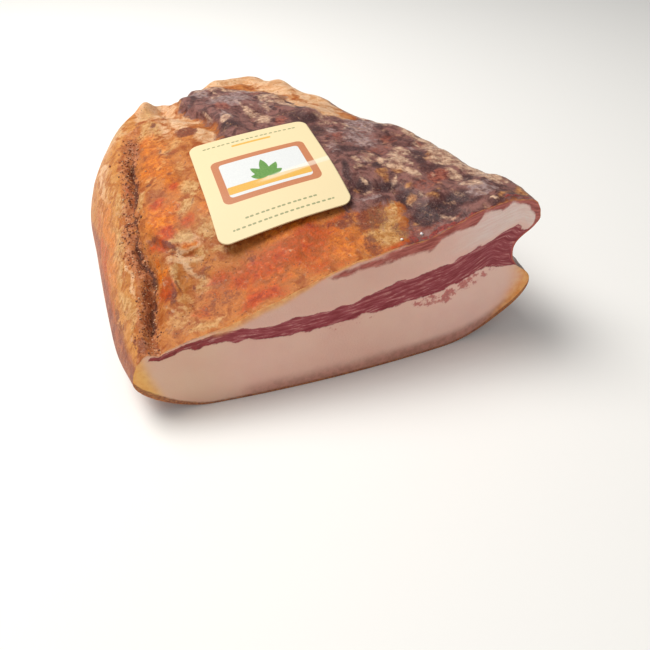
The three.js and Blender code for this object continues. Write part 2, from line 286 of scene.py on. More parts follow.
def top_height(x, y):
    """Waist, plus what the crown and its relief are above it, times a rounded rise from each rim."""
    left_radius = lerp(*RIM.left, smoothstep(y, *RIM.left_range))
    right_radius = lerp(*RIM.right, smoothstep(y, *RIM.right_range))
    rise = (rounded_rise(distance_to(LEFT, x, y), left_radius, RIM.left_power)
            * rounded_rise(distance_to(RIGHT, x, y), right_radius, RIM.right_power))
    waist = waist_height(x, y)
    return waist + (smooth_crown(x, y) + relief(x, y) - waist) * rise


def bottom_height(x, y):
    """Waist times what a rounded heel at each rim leaves of it: 1 at the rim, 0 in the flat middle."""
    left = rounded_rise(distance_to(LEFT, x, y), HEEL.left, HEEL.power)
    right = rounded_rise(distance_to(RIGHT, x, y), HEEL.right, HEEL.power)
    return waist_height(x, y) * (1 - left * right)


def drawn_in(x, y, z):
    """Lean drawn in at the right end of the cut, by a flat-topped band in z, and the lower cut bulging
    forwards, by a parabola in x that fades upwards and backwards."""
    band = np.exp(-(np.abs((z - SHRINK.height) / SHRINK.half_height) ** SHRINK.power))
    drawn = band * smoothstep(x, *SHRINK.along) * (1 - smoothstep(y, *SHRINK.fade))
    across = np.maximum(1 - ((x - BOW.middle) / BOW.half) ** 2, 0)
    bulge = across * np.maximum(1 - z / BOW.height, 0) * (1 - smoothstep(y, 0, BOW.reach))
    return np.stack([x - SHRINK.depth * drawn, y - BOW.depth * bulge, z], -1)


def plan_point(c, b):
    """Point at share c of the chord between both sides, whose ends lie at share b of their lengths."""
    steps = np.linspace(0, 1, LINE_STEPS + 1)
    left = np.stack([np.interp(b, steps, LEFT[:, k]) for k in (0, 1)], -1)
    right = np.stack([np.interp(b, steps, RIGHT[:, k]) for k in (0, 1)], -1)
    return np.moveaxis(left + (right - left) * c[..., None], -1, 0)


def even_chords(height, rows, columns):
    """Chord shares that cut each row's curve over the surface into equal lengths, found on a dense curve."""
    b = np.linspace(0, 1, rows + 1)[:, None]
    c = (1 - np.cos(np.pi * np.linspace(0, 1, DENSE))) / 2
    dense = np.broadcast_to(c, (rows + 1, DENSE))
    x, y = plan_point(dense, np.broadcast_to(b, dense.shape))
    path = np.stack([x, y, height(x, y)], -1)
    step = np.linalg.norm(np.diff(path, axis=1), axis=-1) + 1e-9
    run = np.concatenate([np.zeros((rows + 1, 1)), np.cumsum(step, 1)], 1)
    run = run / run[:, -1:] + 2 * np.arange(rows + 1)[:, None]
    wanted = np.linspace(0, 1, columns + 1) + 2 * np.arange(rows + 1)[:, None]
    return np.interp(wanted.ravel(), run.ravel(), dense.ravel()).reshape(rows + 1, columns + 1)


# Stains of the skin by kind, each a soft ellipse: x, y, half width, half length, strength, and its turn in
# degrees where it has one. Those of the second table show on lean only; its lilac ones are no stain but
# painted sheen.
STAINS = {
    "cream": [
        (60, 186, 26, 14, 1.4, 12), (84, 172, 14, 26, 1.4, 10), (98, 140, 11, 24, 1.2, 14),
        (95, 116, 8, 12, 0.9, 8), (84, 125, 9, 16, 1.25, 14), (93, 110, 9, 7, 1.25, 20),
        (81, 158, 10, 16, 1.25, 18), (100, 102, 5, 4, 0.8), (14, 152, 13, 20, 1.15), (22, 172, 7, 8, 1),
        (4, 172, 12, 8, 0.7, 35), (30, 170, 7, 18, 0.9), (7, 36.5, 8, 1.5, 1, -12),
        (8, 31.5, 8, 1.3, 0.95, -14), (10, 27.5, 7, 1.3, 0.9, -25), (24, 140, 5, 14, 0.7, -20),
        (36, 192, 16, 5, 1.2, 25), (-18, 112, 4, 22, 0.6, 4), (-13, 40, 1.6, 18, 0.6, 2),
        (-12, 142, 12, 18, 0.7, -20), (12, 158, 8, 10, 0.6), (25, 130, 8, 16, 0.95, -10),
        (31, 110, 6, 10, 0.95),
        (28, 156, 5, 10, 0.8), (14, 128, 6, 16, 0.6), (72, 190, 20, 14, 0.9), (56, 176, 10, 6, 0.8, 20),
        (8, 42, 8, 3.5, 0.95, 10), (13, 38, 4, 3, 0.8), (4, 32, 5, 3, 1.35, -20)],
    "pale": [
        (8, 43, 7, 4, 0.95, 10), (13, 57, 6, 5, 0.9), (17, 66, 3.5, 9, 0.8), (12, 32, 8, 3, 0.6, 8),
        (4, 13, 8, 9, 0.5), (20, 41, 6, 6, 0.85), (81, 19, 1.3, 12, 0.95, -4), (76, 10, 2, 6, 0.6),
        (7, 126, 7, 12, 0.8), (13, 106, 8, 9, 0.85), (3, 84, 3, 7, 0.7), (9, 94, 3, 6, 0.7),
        (-16, 24, 3, 18, 0.75, 4), (-17, 58, 3, 24, 0.7, 2), (-12, 80, 2, 16, 0.6, 6),
        (-14, 96, 5, 22, 0.3, 5), (2, 26, 4, 5, 0.7), (-3, 72, 3, 6, 0.7), (86, 14, 3.6, 11, 1.5, 4),
        (90, 20, 1.6, 8, 0.9), (81, 8, 7, 6, 0.75), (88, 6, 4, 3, 0.7), (10, 148, 6, 16, 0.7),
        (-8, 150, 9, 22, 0.6), (14, 22, 6, 5, 0.8), (22, 31, 7, 3, 0.7), (17, 84, 3, 10, 0.6),
        (10, 5, 9, 3, 0.7)],
    "orange": [
        (5, 92, 10, 16, 0.65), (3, 56, 8, 15, 0.85), (12, 73, 5, 12, 0.7), (10, 86, 9, 10, 0.6),
        (36, 12, 36, 9, 0.5), (66, 14, 8, 13, 0.7), (22, 48, 4, 7, 0.5), (8, 108, 12, 8, 0.6),
        (11, 38, 4, 2, 0.9, 20), (-1, 29, 3, 2, 0.8, -20), (-4, 33, 1.5, 6, 0.9, 8), (50, 27, 18, 4, 0.7),
        (73, 10, 4, 8, 0.5), (5, 118, 7, 8, 0.6), (-20, 70, 3, 40, 0.5), (-2, 160, 10, 12, 0.5, 40),
        (76, 4, 7, 2.5, 0.5)],
    "red": [
        (40, 17, 30, 10, 0.8), (32, 5, 11, 3.5, 1), (20, 22, 9, 5, 0.75), (78, 24, 6, 8, 0.6),
        (4, 66, 5, 4, 0.9), (3, 47, 5, 5, 1), (13, 49, 5, 4, 0.75), (13, 71, 2.5, 5, 0.9),
        (-1, 42, 3.5, 7, 0.95, 35), (-2, 23, 4, 6, 0.8), (55, 21, 12, 7, 0.8), (68, 24, 7, 5, 0.6),
        (54, 7, 9, 6, 0.6), (10, 11, 6, 4, 0.6), (-7, 80, 1.6, 14, 0.7), (-24, 60, 2.5, 50, 0.7),
        (36, 8, 14, 3, 0.6), (60, 3, 10, 3, 0.5), (92, 3, 16, 2.5, 0.8), (8, 58, 4, 8, 0.4),
        (76, 20, 3, 9, 0.6)],
    "brown": [
        (12, 83, 1.8, 2.2, 1), (1.5, 77, 1.7, 1.7, 1), (2, 40.5, 8, 2, 1.1, -43), (77, 7, 5, 4, 0.85),
        (9, 23, 1.3, 3, 0.9), (12, 21.5, 2, 1, 0.8), (62, 24, 14, 3, 0.65), (-13, 3, 5, 4, 0.9),
        (-16.5, 6.5, 1, 1.2, 1), (5, 91, 1.2, 1.4, 0.9), (9, 131, 2.2, 2.5, 1), (3, 138, 3, 9, 0.6),
        (23.5, 116, 6.5, 6.5, 1.4), (1, 118, 4, 14, 0.65), (78, 6, 3, 8, 0.55), (10, 52, 2, 4, 0.6),
        (31, 24, 3, 2, 0.7), (17, 57, 1.3, 3.5, 0.8, -10),
        (0, 108, 4, 14, 0.55, 5), (48, 12, 3, 5, 0.4, 20), (9, 104, 1.2, 3, 0.8), (0, 178, 18, 4, 0.7, 35),
        (-22, 24, 3, 22, 0.7), (88, 1.5, 22, 1.2, 0.8), (80, 18, 10, 9, 0.95), (89, 8, 5, 6, 0.7),
        (83, 24, 9, 4, 0.9), (71, 22, 6, 5, 0.8), (-1, 19, 1.2, 5, 0.7), (-2, 20, 3.5, 4, 0.6),
        (14, 15, 8, 5, 0.5),
        (14, 27, 7, 3, 0.6, 10), (2.5, 22, 1.2, 6, 0.8), (76, 5, 7, 4, 0.8), (19, 20, 6, 4, 0.6),
        (-1, 20, 2.5, 5, 0.9), (17, 11, 11, 5, 0.62), (1, 6, 6, 4, 0.42), (70, 14, 3, 6, 0.5),
        (-3, 48, 3, 4, 0.8, -20), (14, 100, 5, 4, 0.6), (12, 110, 3, 5, 0.6), (30, 145, 2.5, 10, 0.7, -30),
        (6, 33, 6, 1.2, 0.7, -20)],
}
LEAN_STAINS = {
    # Painted sheen: lilac-grey patches where the dark lean would catch the light
    "lilac_sheen": [
        (125, 15, 7, 6, 1, 30), (131, 19, 5, 4, 0.8, 30), (84, 30, 8, 2, 0.95), (98, 76, 9, 11, 0.8, 10),
        (105, 92, 9, 12, 0.9, -15), (90, 88, 5, 9, 0.7), (114, 57, 3, 8, 0.7), (52, 144, 13, 13, 1.15),
        (70, 130, 6, 14, 0.6), (45, 122, 5, 12, 0.85), (104, 106, 9, 7, 0.8), (118, 92, 5, 9, 0.7),
        (38, 162, 7, 10, 1.1), (60, 156, 10, 5, 0.9, -10), (84, 66, 5, 9, 0.6), (88, 54, 3, 5, 0.7),
        (124, 24, 3, 8, 0.6, -30), (110, 22, 2.5, 3, 0.6), (142, 34, 3, 10, 0.7, -10),
        (62, 142, 6, 10, 0.6)],
    "dark": [
        (104, 12, 10, 7, 1), (97, 23, 6, 7, 0.8), (113, 14, 9, 6, 0.95), (84, 38, 5, 5, 0.8),
        (95, 49, 4, 5, 0.9), (81, 47, 2, 11, 0.7), (114, 50, 4, 9, 0.7), (90, 66, 6, 5, 0.7),
        (127, 27, 4, 5, 0.7, -20), (82, 92, 6, 8, 0.6), (84, 104, 7, 5, 0.8), (126, 72, 2.5, 7, 0.7, -25),
        (45, 108, 6, 8, 0.8), (78, 108, 5, 8, 0.7), (112, 88, 3, 10, 0.6, -20), (33, 160, 3, 20, 0.7, 3),
        (82, 126, 2.5, 14, 0.85, 8), (135, 5, 4, 2, 0.9), (92, 35, 6, 4, 0.8), (118, 40, 6, 3, 0.5),
        (120, 9, 6, 3, 0.7), (31, 178, 3, 12, 0.8)],
    "russet": [
        (108, 29, 7, 5, 0.8, 20), (115, 33, 8, 6, 0.9, 20), (98, 6, 16, 2.5, 0.8), (88, 80, 6, 7, 0.7),
        (46, 136, 6, 9, 0.9), (70, 108, 5, 7, 0.8), (66, 152, 5, 9, 0.7), (100, 64, 8, 4, 0.6),
        (122, 62, 4, 10, 0.6), (75, 125, 4, 12, 0.5), (122, 35, 6, 4, 0.6), (94, 12, 4, 6, 0.6),
        (110, 72, 7, 5, 0.6, 20), (134, 66, 4, 9, 0.6)],
    "fleck": [
        (105, 54, 4.5, 9, 1, 4), (103, 46, 5, 4, 0.9), (106, 39, 3, 7, 0.9), (110, 60, 3, 7, 0.8, 10),
        (86, 48, 4, 2, 0.75, 35), (90, 54, 2.5, 3, 0.7), (93, 59, 4, 2, 0.6), (86, 40, 1.3, 2.5, 0.9),
        (93, 33, 1.2, 2.5, 0.8), (85, 34, 2.5, 1.3, 0.7), (126, 50, 8, 12, 1.2, 18),
        (132, 36, 7, 14, 1.05, 10), (137, 24, 6, 9, 1), (129, 64, 6, 12, 1.3, 10),
        (124, 80, 5, 11, 1.1, 12), (117, 96, 6, 11, 0.85, 14), (112, 112, 7, 12, 0.9, 12),
        (122, 31, 4, 8, 0.75), (125, 21, 4, 6, 0.75), (98, 54, 3, 6, 1, -10), (86, 53, 2, 4, 0.9),
        (97, 37, 4, 1.6, 0.9, 35), (122, 46, 5, 4, 1), (62, 114, 5, 8, 1, -18), (58, 127, 3, 10, 0.9, 14),
        (90, 118, 7, 18, 0.9, 12), (72, 142, 6, 12, 0.8, 20), (80, 128, 3, 12, 0.9, 24),
        (68, 128, 2.5, 10, 0.8, -14), (44, 118, 4, 6, 0.9, -20), (64, 158, 14, 5, 0.8, -18),
        (50, 168, 12, 4, 0.7, -10), (46, 152, 6, 2.5, 0.7, 10), (84, 142, 4, 14, 0.8, 14),
        (98, 112, 4, 10, 0.6, 10), (113, 34, 1.5, 2, 0.6),
        (37, 128, 1.5, 12, 0.6, 10), (118, 104, 4, 8, 0.6), (112, 118, 5, 12, 0.6, 10),
        (104, 22, 1.5, 3, 0.6), (93, 98, 6, 2.5, 0.6, -30), (137, 22, 4, 6, 0.7), (143, 10, 3, 8, 0.7, -20),
        (40, 172, 3, 12, 0.7), (48, 160, 2, 9, 0.6, 12), (125, 5, 1.3, 1.5, 0.9), (106, 7, 0.9, 4, 0.8, 8),
        (77, 40, 1.2, 8, 0.5), (72, 136, 2, 12, 0.6, -8), (98, 92, 2, 6, 0.5, 20),
        (118, 58, 3, 6, 0.5, 10), (109, 46, 1.5, 3, 0.6)],
    "amber": [
        (95, 41, 6, 2, 1, 38), (102, 43, 3, 4, 0.95), (101, 30, 2.5, 2.5, 0.9), (100, 22, 2.5, 3, 0.8),
        (107, 21, 3, 2, 0.8), (120, 48, 4, 4, 0.8), (139, 7, 6, 3.5, 0.95, 45), (76, 162, 6, 9, 0.8),
        (130, 6, 4, 2, 0.9, 30), (68, 160, 3, 6, 0.5), (93, 106, 5, 2.5, 0.7, -25), (78, 140, 5, 8, 0.6), (81, 36, 2, 1.5, 0.7), (112, 24, 2, 3, 0.5),
        (56, 166, 6, 5, 0.6), (96, 8, 2, 4, 0.5)],
    "crimson": [
        (107, 0.8, 20, 2.2, 1), (146, 8, 3, 9, 1), (133, 2, 7, 1.6, 0.9), (90, 3, 6, 4, 0.6)],
}
LEAN_AREA = [
    (86, -2), (90, 4), (93, 14), (94, 22), (86, 25), (80, 23), (74, 25), (70, 32), (70, 60), (60, 84),
    (38, 88), (35, 100), (39, 118), (36, 126), (31, 135), (25, 146), (27, 162), (30, 180), (35, 186),
    (42, 179), (52, 169), (63, 161), (75, 153), (81, 140), (84, 121), (90, 107), (101, 102), (109, 108),
    (108, 123), (103, 140), (104, 152), (112, 140), (120, 122), (130, 98), (137, 70), (141, 42), (145, 24),
    (151, 10), (151, -2)]

# Narrow grooves of the skin: their lines, depth and width in millimetres. The skin is also painted darker
# along them, painted shade.
GROOVES = [
    ([(-3.5, 50), (-1.5, 44), (1.5, 38.5), (7, 35.3), (13, 34)], 1.3, 1.3),
    ([(0, 31), (6, 29.5), (12, 29.5), (19, 31)], 0.5, 1.0),
    ([(2, 27.5), (8, 26), (14, 24)], 0.4, 1.0),
    ([(17.5, 138), (18.5, 150), (18, 164)], 1.4, 1.6),
    ([(37, 104), (38, 118), (36, 127), (30, 138), (26, 150), (28, 164), (32, 178), (37, 189),
      (52, 198), (70, 204)], 1.6, 2.0),
    ([(135, 90), (138, 74), (138.5, 60), (142, 40), (147, 22)], 0.9, 1.6),
    ([(60, 104), (57, 112), (58, 120), (63, 127)], 0.8, 1.4),
    ([(78, 30), (84, 33), (92, 32), (97, 29)], 0.7, 1.5),
]
GROOVE_LINES = [spaced_line(line)[::6] for line, _, _ in GROOVES]


def patches(ellipses, x, y, warp):
    """Strongest of the ellipses: its strength in the middle, 0 past its rim, and places shifted by warp."""
    best = np.zeros(np.shape(x))
    for cx, cy, half_x, half_y, strength, *turn in ellipses:
        c, s = np.cos(np.radians(sum(turn))), np.sin(np.radians(sum(turn)))
        dx, dy = x + warp[..., 0] - cx, y + warp[..., 1] - cy
        reach = np.hypot((c * dx + s * dy) / half_x, (c * dy - s * dx) / half_y)
        best = np.maximum(best, strength * (1 - smoothstep(reach, *STAIN_RIM)))
    return best


def inside_area(corners, x, y):
    """Signed distance to the rim of an area, positive inside: the sign counts crossings to the left."""
    line = np.array(corners + corners[:1], float)
    crossings = np.zeros(np.shape(x), int)
    for (ax, ay), (bx, by) in zip(line[:-1], line[1:]):
        between = (ay > y) != (by > y)
        at = ax + (y - ay) * (bx - ax) / (by - ay if by != ay else 1)
        crossings += between & (x < at)
    return np.abs(distance_to(line, x, y)) * np.where(crossings % 2, 1, -1)


def chord_shares():
    """Chord shares of the top's and the underside's grids. At the cut, the underside takes the top's."""
    top = even_chords(top_height, BACK, ACROSS)
    under = even_chords(bottom_height, BACK, ACROSS // BOTTOM_STEP)
    blend = smoothstep(np.linspace(0, 1, BACK + 1), 0, UNDER_BLEND)[:, None]
    return top, lerp(top[0, ::BOTTOM_STEP], under, blend)


def grid_normals(points):
    """Unit normals of a grid of points: the cross product of its differences across and along."""
    normal = np.cross(np.gradient(points, axis=1), np.gradient(points, axis=0))
    return normal / (np.linalg.norm(normal, axis=-1, keepdims=True) + 1e-9)


def skin_marks(x, y, z):
    """Named fields of the skin: the stains by kind, how far inside the lean a place lies, and bells and
    smoothsteps of its distance to the crease, the waist and the grooves. Noise makes every rim ragged."""
    spot = np.stack([x, y, z], -1)
    coarse, fine = (np.stack([rough_noise(spot, size, seed, octaves) for seed in seeds], -1) * reach
                    for size, octaves, reach, seeds in WARPS)
    warp = coarse + fine
    crease = distance_to(CREASE_LINE, x, y) + fine[..., 0]
    going = 1 - smoothstep(y, *CRACK.end)
    often = going * lerp(CRACK.at_cut, 1, smoothstep(y, *CRACK.opens))
    often = often * lerp(1, CRACK.later, smoothstep(y, *CRACK.narrows))
    crack = np.clip(often + CRACK.patchy * rough_noise(spot, CRACK.patch, 55, 2), 0, CRACK.most)
    spiced = np.clip(SPICED.share + SPICED.patchy * rough_noise(spot, SPICED.patch, 51, 2), 0, 1)
    strip = RIND.strip * (1 - smoothstep(y, *RIND.strip_end)) * (1 - smoothstep(x, *RIND.strip_right))
    above_waist = z - waist_height(x, y) + RIND.patchy * rough_noise(spot, RIND.patch, 57, 2)
    lines = [bell(distance_to(line, x, y) + fine[..., 1], width)
             for line, (_, _, width) in zip(GROOVE_LINES, GROOVES)]
    return {
        **{kind: patches(ellipses, x, y, warp) for kind, ellipses in {**STAINS, **LEAN_STAINS}.items()},
        "lean": inside_area(LEAN_AREA, x + warp[..., 0], y + warp[..., 1]),
        "pepper": (1 - smoothstep(y, *SPICED.end)) * bell(crease + SPICED.aside, SPICED.width) * spiced,
        "crease": crease,
        "crack": crack - CRACK.closed * (1 - going),
        "crack_in": bell(crease + CRACK.aside, CRACK.width) * going,
        "wall": smoothstep(-crease, *WALL.beside) * (1 - smoothstep(y, *WALL.end)),
        "rind": 1 - smoothstep(above_waist - strip, *RIND.rim),
        "slit": np.max(lines, 0),
        "cut_in": sum(depth * line for line, (_, depth, _) in zip(lines, GROOVES)),
    }


def fine_relief(x, y, z, marks):
    """Crags, wrinkles along the dried muscle and spice, each a noise times its height, plus the flecks of fat,
    less the crack and the grooves. Calmer on the wall and on cream fat, faint under the card, 0 at the waist."""
    spot = np.stack([x, y, z], -1)
    lean = smoothstep(marks["lean"], *SKIN.rim)
    turn = np.radians(SKIN.wrinkle_turn)
    along, across = np.cos(turn) * x + np.sin(turn) * y, np.cos(turn) * y - np.sin(turn) * x
    muscle = np.stack([across, along * SKIN.squeeze, z], -1)
    wrinkles = SKIN.level - np.abs(rough_noise(muscle, SKIN.wrinkle, 61, 3))
    crags = rough_noise(spot, SKIN.crag, 71, 4)
    flecks = SKIN.fleck * marks["fleck"] + SKIN.amber * marks["amber"] - SKIN.dark * marks["dark"]
    height = lerp(*SKIN.crags, lean) * crags + lerp(*SKIN.wrinkles, lean) * wrinkles + lean * flecks
    height = height + SKIN.spiced * marks["pepper"] * rough_noise(spot, SKIN.spice, 81, 2)
    height = height - CRACK.depth * marks["crack_in"] - marks["cut_in"]
    calm = lerp(1, SKIN.calm, np.maximum(marks["wall"] * (1 - marks["pepper"]), marks["cream"]))
    beside_card = lerp(CARD_BED.relief, 1, smoothstep(card_bed(x, y), CARD_BED.relief, 1))
    return height * calm * beside_card * smoothstep(z - waist_height(x, y), *SKIN.foot)


# Lean streaks of the cut: heights of the lower one's rims and depth of the upper one below the top edge
STREAK_X = [
    -13, -9, -5, 0, 5, 10, 15, 20, 25, 30, 35, 40, 48, 55, 65, 75, 85, 95, 105, 112, 120, 126, 132, 137, 143,
    150]
STREAK_LOW = [
    29.4, 29.3, 29.2, 29.1, 29.2, 29.8, 29.8, 28.6, 28.2, 27.4, 27.2, 26.4, 26.6, 27.0, 27.6, 28.6, 29.8,
    30.4, 31.2, 32.8, 35.0, 37.0, 37.4, 36.6, 35.4, 34.8]
STREAK_HIGH = [
    30.2, 30.8, 31.6, 32.2, 33.0, 34.4, 34.6, 34.4, 33.0, 32.6, 33.2, 33.8, 33.6, 34.0, 35.2, 38.2, 40.2,
    41.6, 43.0, 45.2, 47.2, 48.8, 52.4, 55.4, 52.6, 51.0]
UPPER_X = [53, 58, 64, 72, 80, 88, 93, 98, 102, 108, 112, 116, 119, 122, 127, 131, 137, 141, 146, 150]
UPPER_DEEP = [
    -1, 3.8, 4.6, 4.2, 5.4, 4.8, 5.0, 6.2, 3.6, 3.4, 5.4, 6.4, 2.2, 1.8, 4.0, 1.2, 1.8, 5.0, 6.0, 5.0]
STREAKS = Values(
    ragged=0.9, rag=2.6, stretch=0.55, thin=(0.25, 4), under_top=(3.2, 0.9), tip=3, tip_x=(-15, -11.5),
    none=-2, skin=2.4, skin_x=(74, 96), upper_ragged=0.7, sunk=0.45, sunk_rim=(-0.5, 1.5), sunk_below=(0, 3),
    edge_power=6)

# Places below the lower streak with flecks of lean: x, z, half width, half height, strength, turn in degrees
SPILLS = [
    (98, 27.8, 9, 3.5, 1, 10), (108, 27.5, 7, 5, 1, 20), (118, 31.5, 9, 4.5, 0.85, 15),
    (126, 34.5, 7, 4, 0.75), (64, 26, 20, 2.5, 0.5, 4), (136, 36, 5, 2.5, 0.8)]

# Tones of the cut: where along x each comes and goes, and how deep it reaches from the rim
RIND_EDGE = Values(depth=(1.0, 3.4), left=(-18, 8), more=1.5, right=(118, 140))
GOLD = Values(depth=(5.5, 1.8), thins=(35, 62), start=(0, 20), end=(66, 96))
# Foot: painted shade, the cut's fat darker towards its bottom edge, more so to the right
FOOT_SHADE = Values(height=(0.5, 12), start=(-12, 40), most=1.35, right=(50, 110))
LEFT_END = Values(lean=0.12, height=22, patch=8, patchy=1.2, range=(-19, -10))
RIGHT_END = Values(lean=0.45, patch=8, patchy=1.5, range=(121, 140), top=(30, 40))
WHITE = Values(start=(95, 132), above=(-1, 4))


def cut_marks(x, y, z):
    """Named fields of the cut: how far inside each lean streak a place lies, which is the nearer of its rims'
    distances made ragged by noise, how deep below the edge it lies, where each tone of the fat shows, and where
    the cut is painted darker at its foot (painted shade) and lighter to the right (painted light)."""
    spot = np.stack([x, y, z], -1)
    ragged = STREAKS.ragged * rough_noise(spot * (STREAKS.stretch, 1, 1), STREAKS.rag, 91, 3)
    top, bottom = top_height(x, np.zeros_like(x)), bottom_height(x, np.zeros_like(x))
    low, high = (np.minimum(np.interp(x, STREAK_X, rim), top - under)
                 for rim, under in zip((STREAK_LOW, STREAK_HIGH), STREAKS.under_top))
    high = high - STREAKS.tip * (1 - smoothstep(x, *STREAKS.tip_x))
    deep = np.interp(x, UPPER_X, UPPER_DEEP, left=STREAKS.none)
    skin = STREAKS.skin * (1 - smoothstep(x, *STREAKS.skin_x))
    thin = np.clip((high - low) / STREAKS.thin[1], STREAKS.thin[0], 1)
    rind = lerp(*RIND_EDGE.depth, 1 - smoothstep(x, *RIND_EDGE.left))
    rind = rind + RIND_EDGE.more * smoothstep(x, *RIND_EDGE.right)
    gold = 1 - smoothstep(top - z, 0, lerp(*GOLD.depth, smoothstep(x, *GOLD.thins)))
    # How strong the painted shade at the cut's foot is along x
    foot = lerp(smoothstep(x, *FOOT_SHADE.start), FOOT_SHADE.most, smoothstep(x, *FOOT_SHADE.right))
    left = x + LEFT_END.lean * (z - LEFT_END.height)
    left = left + LEFT_END.patchy * rough_noise(spot, LEFT_END.patch, 95, 2)
    right = x - RIGHT_END.lean * z + RIGHT_END.patchy * rough_noise(spot, RIGHT_END.patch, 97, 2)
    return {
        "streak": np.minimum(z - low, high - z) + ragged * thin,
        "upper": np.minimum(z - (top - deep), top - skin - z + 1) + STREAKS.upper_ragged * ragged,
        "below_edge": top - z,
        "above_middle": z - (low + high) / 2,
        "left_streak": 1 - smoothstep(x, -8, 30),
        "white": smoothstep(x, *WHITE.start) * smoothstep(z - high, *WHITE.above),
        "foot": (1 - smoothstep(z - bottom, *FOOT_SHADE.height)) * foot,
        "rind_edge": rind - z + bottom,
        "beige": 1 - smoothstep(x, -10, 34),
        "gold": gold * (1 - smoothstep(x, *GOLD.end)) * smoothstep(x, *GOLD.start),
        # Painted light: the cut paler towards its right end
        "lit": smoothstep(x, 60, 130),
        "spill": patches(SPILLS, x, z, np.stack([ragged, ragged], -1) / 2),
        "left_end": 1 - smoothstep(left, *LEFT_END.range),
        "right_end": smoothstep(right, *RIGHT_END.range) * (1 - smoothstep(z, *RIGHT_END.top)),
    }


def weave(rows, columns, start):
    """Four corners of each cell of a grid of points, which are numbered row by row from start."""
    number = np.arange(rows * columns).reshape(rows, columns) + start
    return np.stack([number[:-1, :-1], number[:-1, 1:], number[1:, 1:], number[1:, :-1]], -1).reshape(-1, 4)


def mesh_object(name, points, cells, fields, slots, materials):
    """Closed mesh: points in metres, cells as corner lists, fields stored by name, doubles merged."""
    mesh = bpy.data.meshes.new(name)
    mesh.from_pydata(points.tolist(), [], cells)
    for field, values in fields.items():
        kind, item = ("FLOAT_VECTOR", "vector") if np.ndim(values) == 2 else ("FLOAT", "value")
        layer = mesh.attributes.new(field, kind, "POINT")
        layer.data.foreach_set(item, np.ravel(values).astype(np.float32))
    mesh.polygons.foreach_set("material_index", np.asarray(slots, np.int32))
    for material in materials:
        mesh.materials.append(material)
    shaped = bmesh.new()
    shaped.from_mesh(mesh)
    bmesh.ops.remove_doubles(shaped, verts=shaped.verts, dist=DOUBLES)
    bmesh.ops.recalc_face_normals(shaped, faces=shaped.faces)
    shaped.to_mesh(mesh)
    shaped.free()
    sharpen_where_materials_meet(mesh)
    piece = bpy.data.objects.new(name, mesh)
    bpy.context.scene.collection.objects.link(piece)
    return piece


def sharpen_where_materials_meet(mesh):
    """Smooth shading, but a sharp edge wherever its faces have different material slots."""
    totals = np.zeros(len(mesh.polygons), np.int32)
    slots = np.zeros(len(mesh.polygons), np.int32)
    edges = np.zeros(len(mesh.loops), np.int32)
    mesh.polygons.foreach_get("loop_total", totals)
    mesh.polygons.foreach_get("material_index", slots)
    mesh.loops.foreach_get("edge_index", edges)
    of_corner = np.repeat(slots, totals)
    low, high = (np.full(len(mesh.edges), past) for past in (slots.max() + 1, -1))
    np.minimum.at(low, edges, of_corner)
    np.maximum.at(high, edges, of_corner)
    mesh.polygons.foreach_set("use_smooth", np.ones(len(mesh.polygons), bool))
    sharp = mesh.attributes.get("sharp_edge") or mesh.attributes.new("sharp_edge", "BOOLEAN", "EDGE")
    sharp.data.foreach_set("value", low != high)


def add_node(tree, kind, *inputs, out=0, **settings):
    """Add a shader node: inputs fill its live sockets in order, with values, hex colours or other outputs."""
    new = tree.nodes.new("ShaderNode" + kind)
    for name, value in settings.items():
        setattr(new, name, value)
    for socket, value in zip([s for s in new.inputs if s.enabled], inputs):
        if isinstance(value, bpy.types.NodeSocket):
            tree.links.new(value, socket)
        elif value is not None:
            socket.default_value = linear(value) if isinstance(value, str) else value
    live = [s for s in new.outputs if s.enabled]
    return new.outputs[out] if isinstance(out, str) else live[out] if live else new


def start_material(name, fields):
    """Empty material with its place in millimetres and the mesh's named fields as outputs."""
    material = bpy.data.materials.new(name)
    material.use_nodes = True
    tree = material.node_tree
    tree.nodes.clear()
    add = partial(add_node, tree)
    mm = add("VectorMath", add("TexCoord", out="Object"), 1 / MM, operation="SCALE")
    named = {field: add("Attribute", attribute_name=field, out="Fac") for field in fields}
    return material, add, mm, named


# How light scatters below a surface, by red, green and blue in flesh and not at all in what is dry, and the
# range of a noise over which a layer's own colour changes
FLESH_REACH = (1.0, 0.45, 0.3)
DRY = (0.0, 0.001)
TINT_RANGE = (0.34, 0.66)


def finish_material(add, colour, roughness, bump, ior, scatter, gloss):
    """Principled shader: scatter is the share of the light that scatters and how far it goes, in metres."""
    shader = add("BsdfPrincipled", colour, 0.0, roughness, ior, 1.0, bump).node
    shader.inputs["Specular IOR Level"].default_value = gloss
    shader.inputs["Subsurface Weight"].default_value = scatter[0]
    shader.inputs["Subsurface Scale"].default_value = scatter[1]
    shader.inputs["Subsurface Radius"].default_value = FLESH_REACH
    add("OutputMaterial", shader.outputs[0])


def lay_over(add, below, layers, named):
    """Each layer covers what is below where its field, made ragged by noises, passes from low to high;
    its own colour runs from dark to light with a third noise. Its share is how much it hides."""
    for field, ragged, low, high, share, tint, dark, light in layers:
        value = named[field]
        for noise, wobble in ragged:
            value = add("Math", named[noise], wobble, value, operation="MULTIPLY_ADD")
            low, high = low + wobble / 2, high + wobble / 2
        cover = add("MapRange", value, low, high, 0.0, share, interpolation_type="SMOOTHSTEP")
        spread = add("MapRange", named[tint], *TINT_RANGE, interpolation_type="SMOOTHSTEP")
        colour = add("Mix", spread, dark, light, data_type="RGBA")
        below = add("Mix", cover, below, colour, data_type="RGBA")
    return below


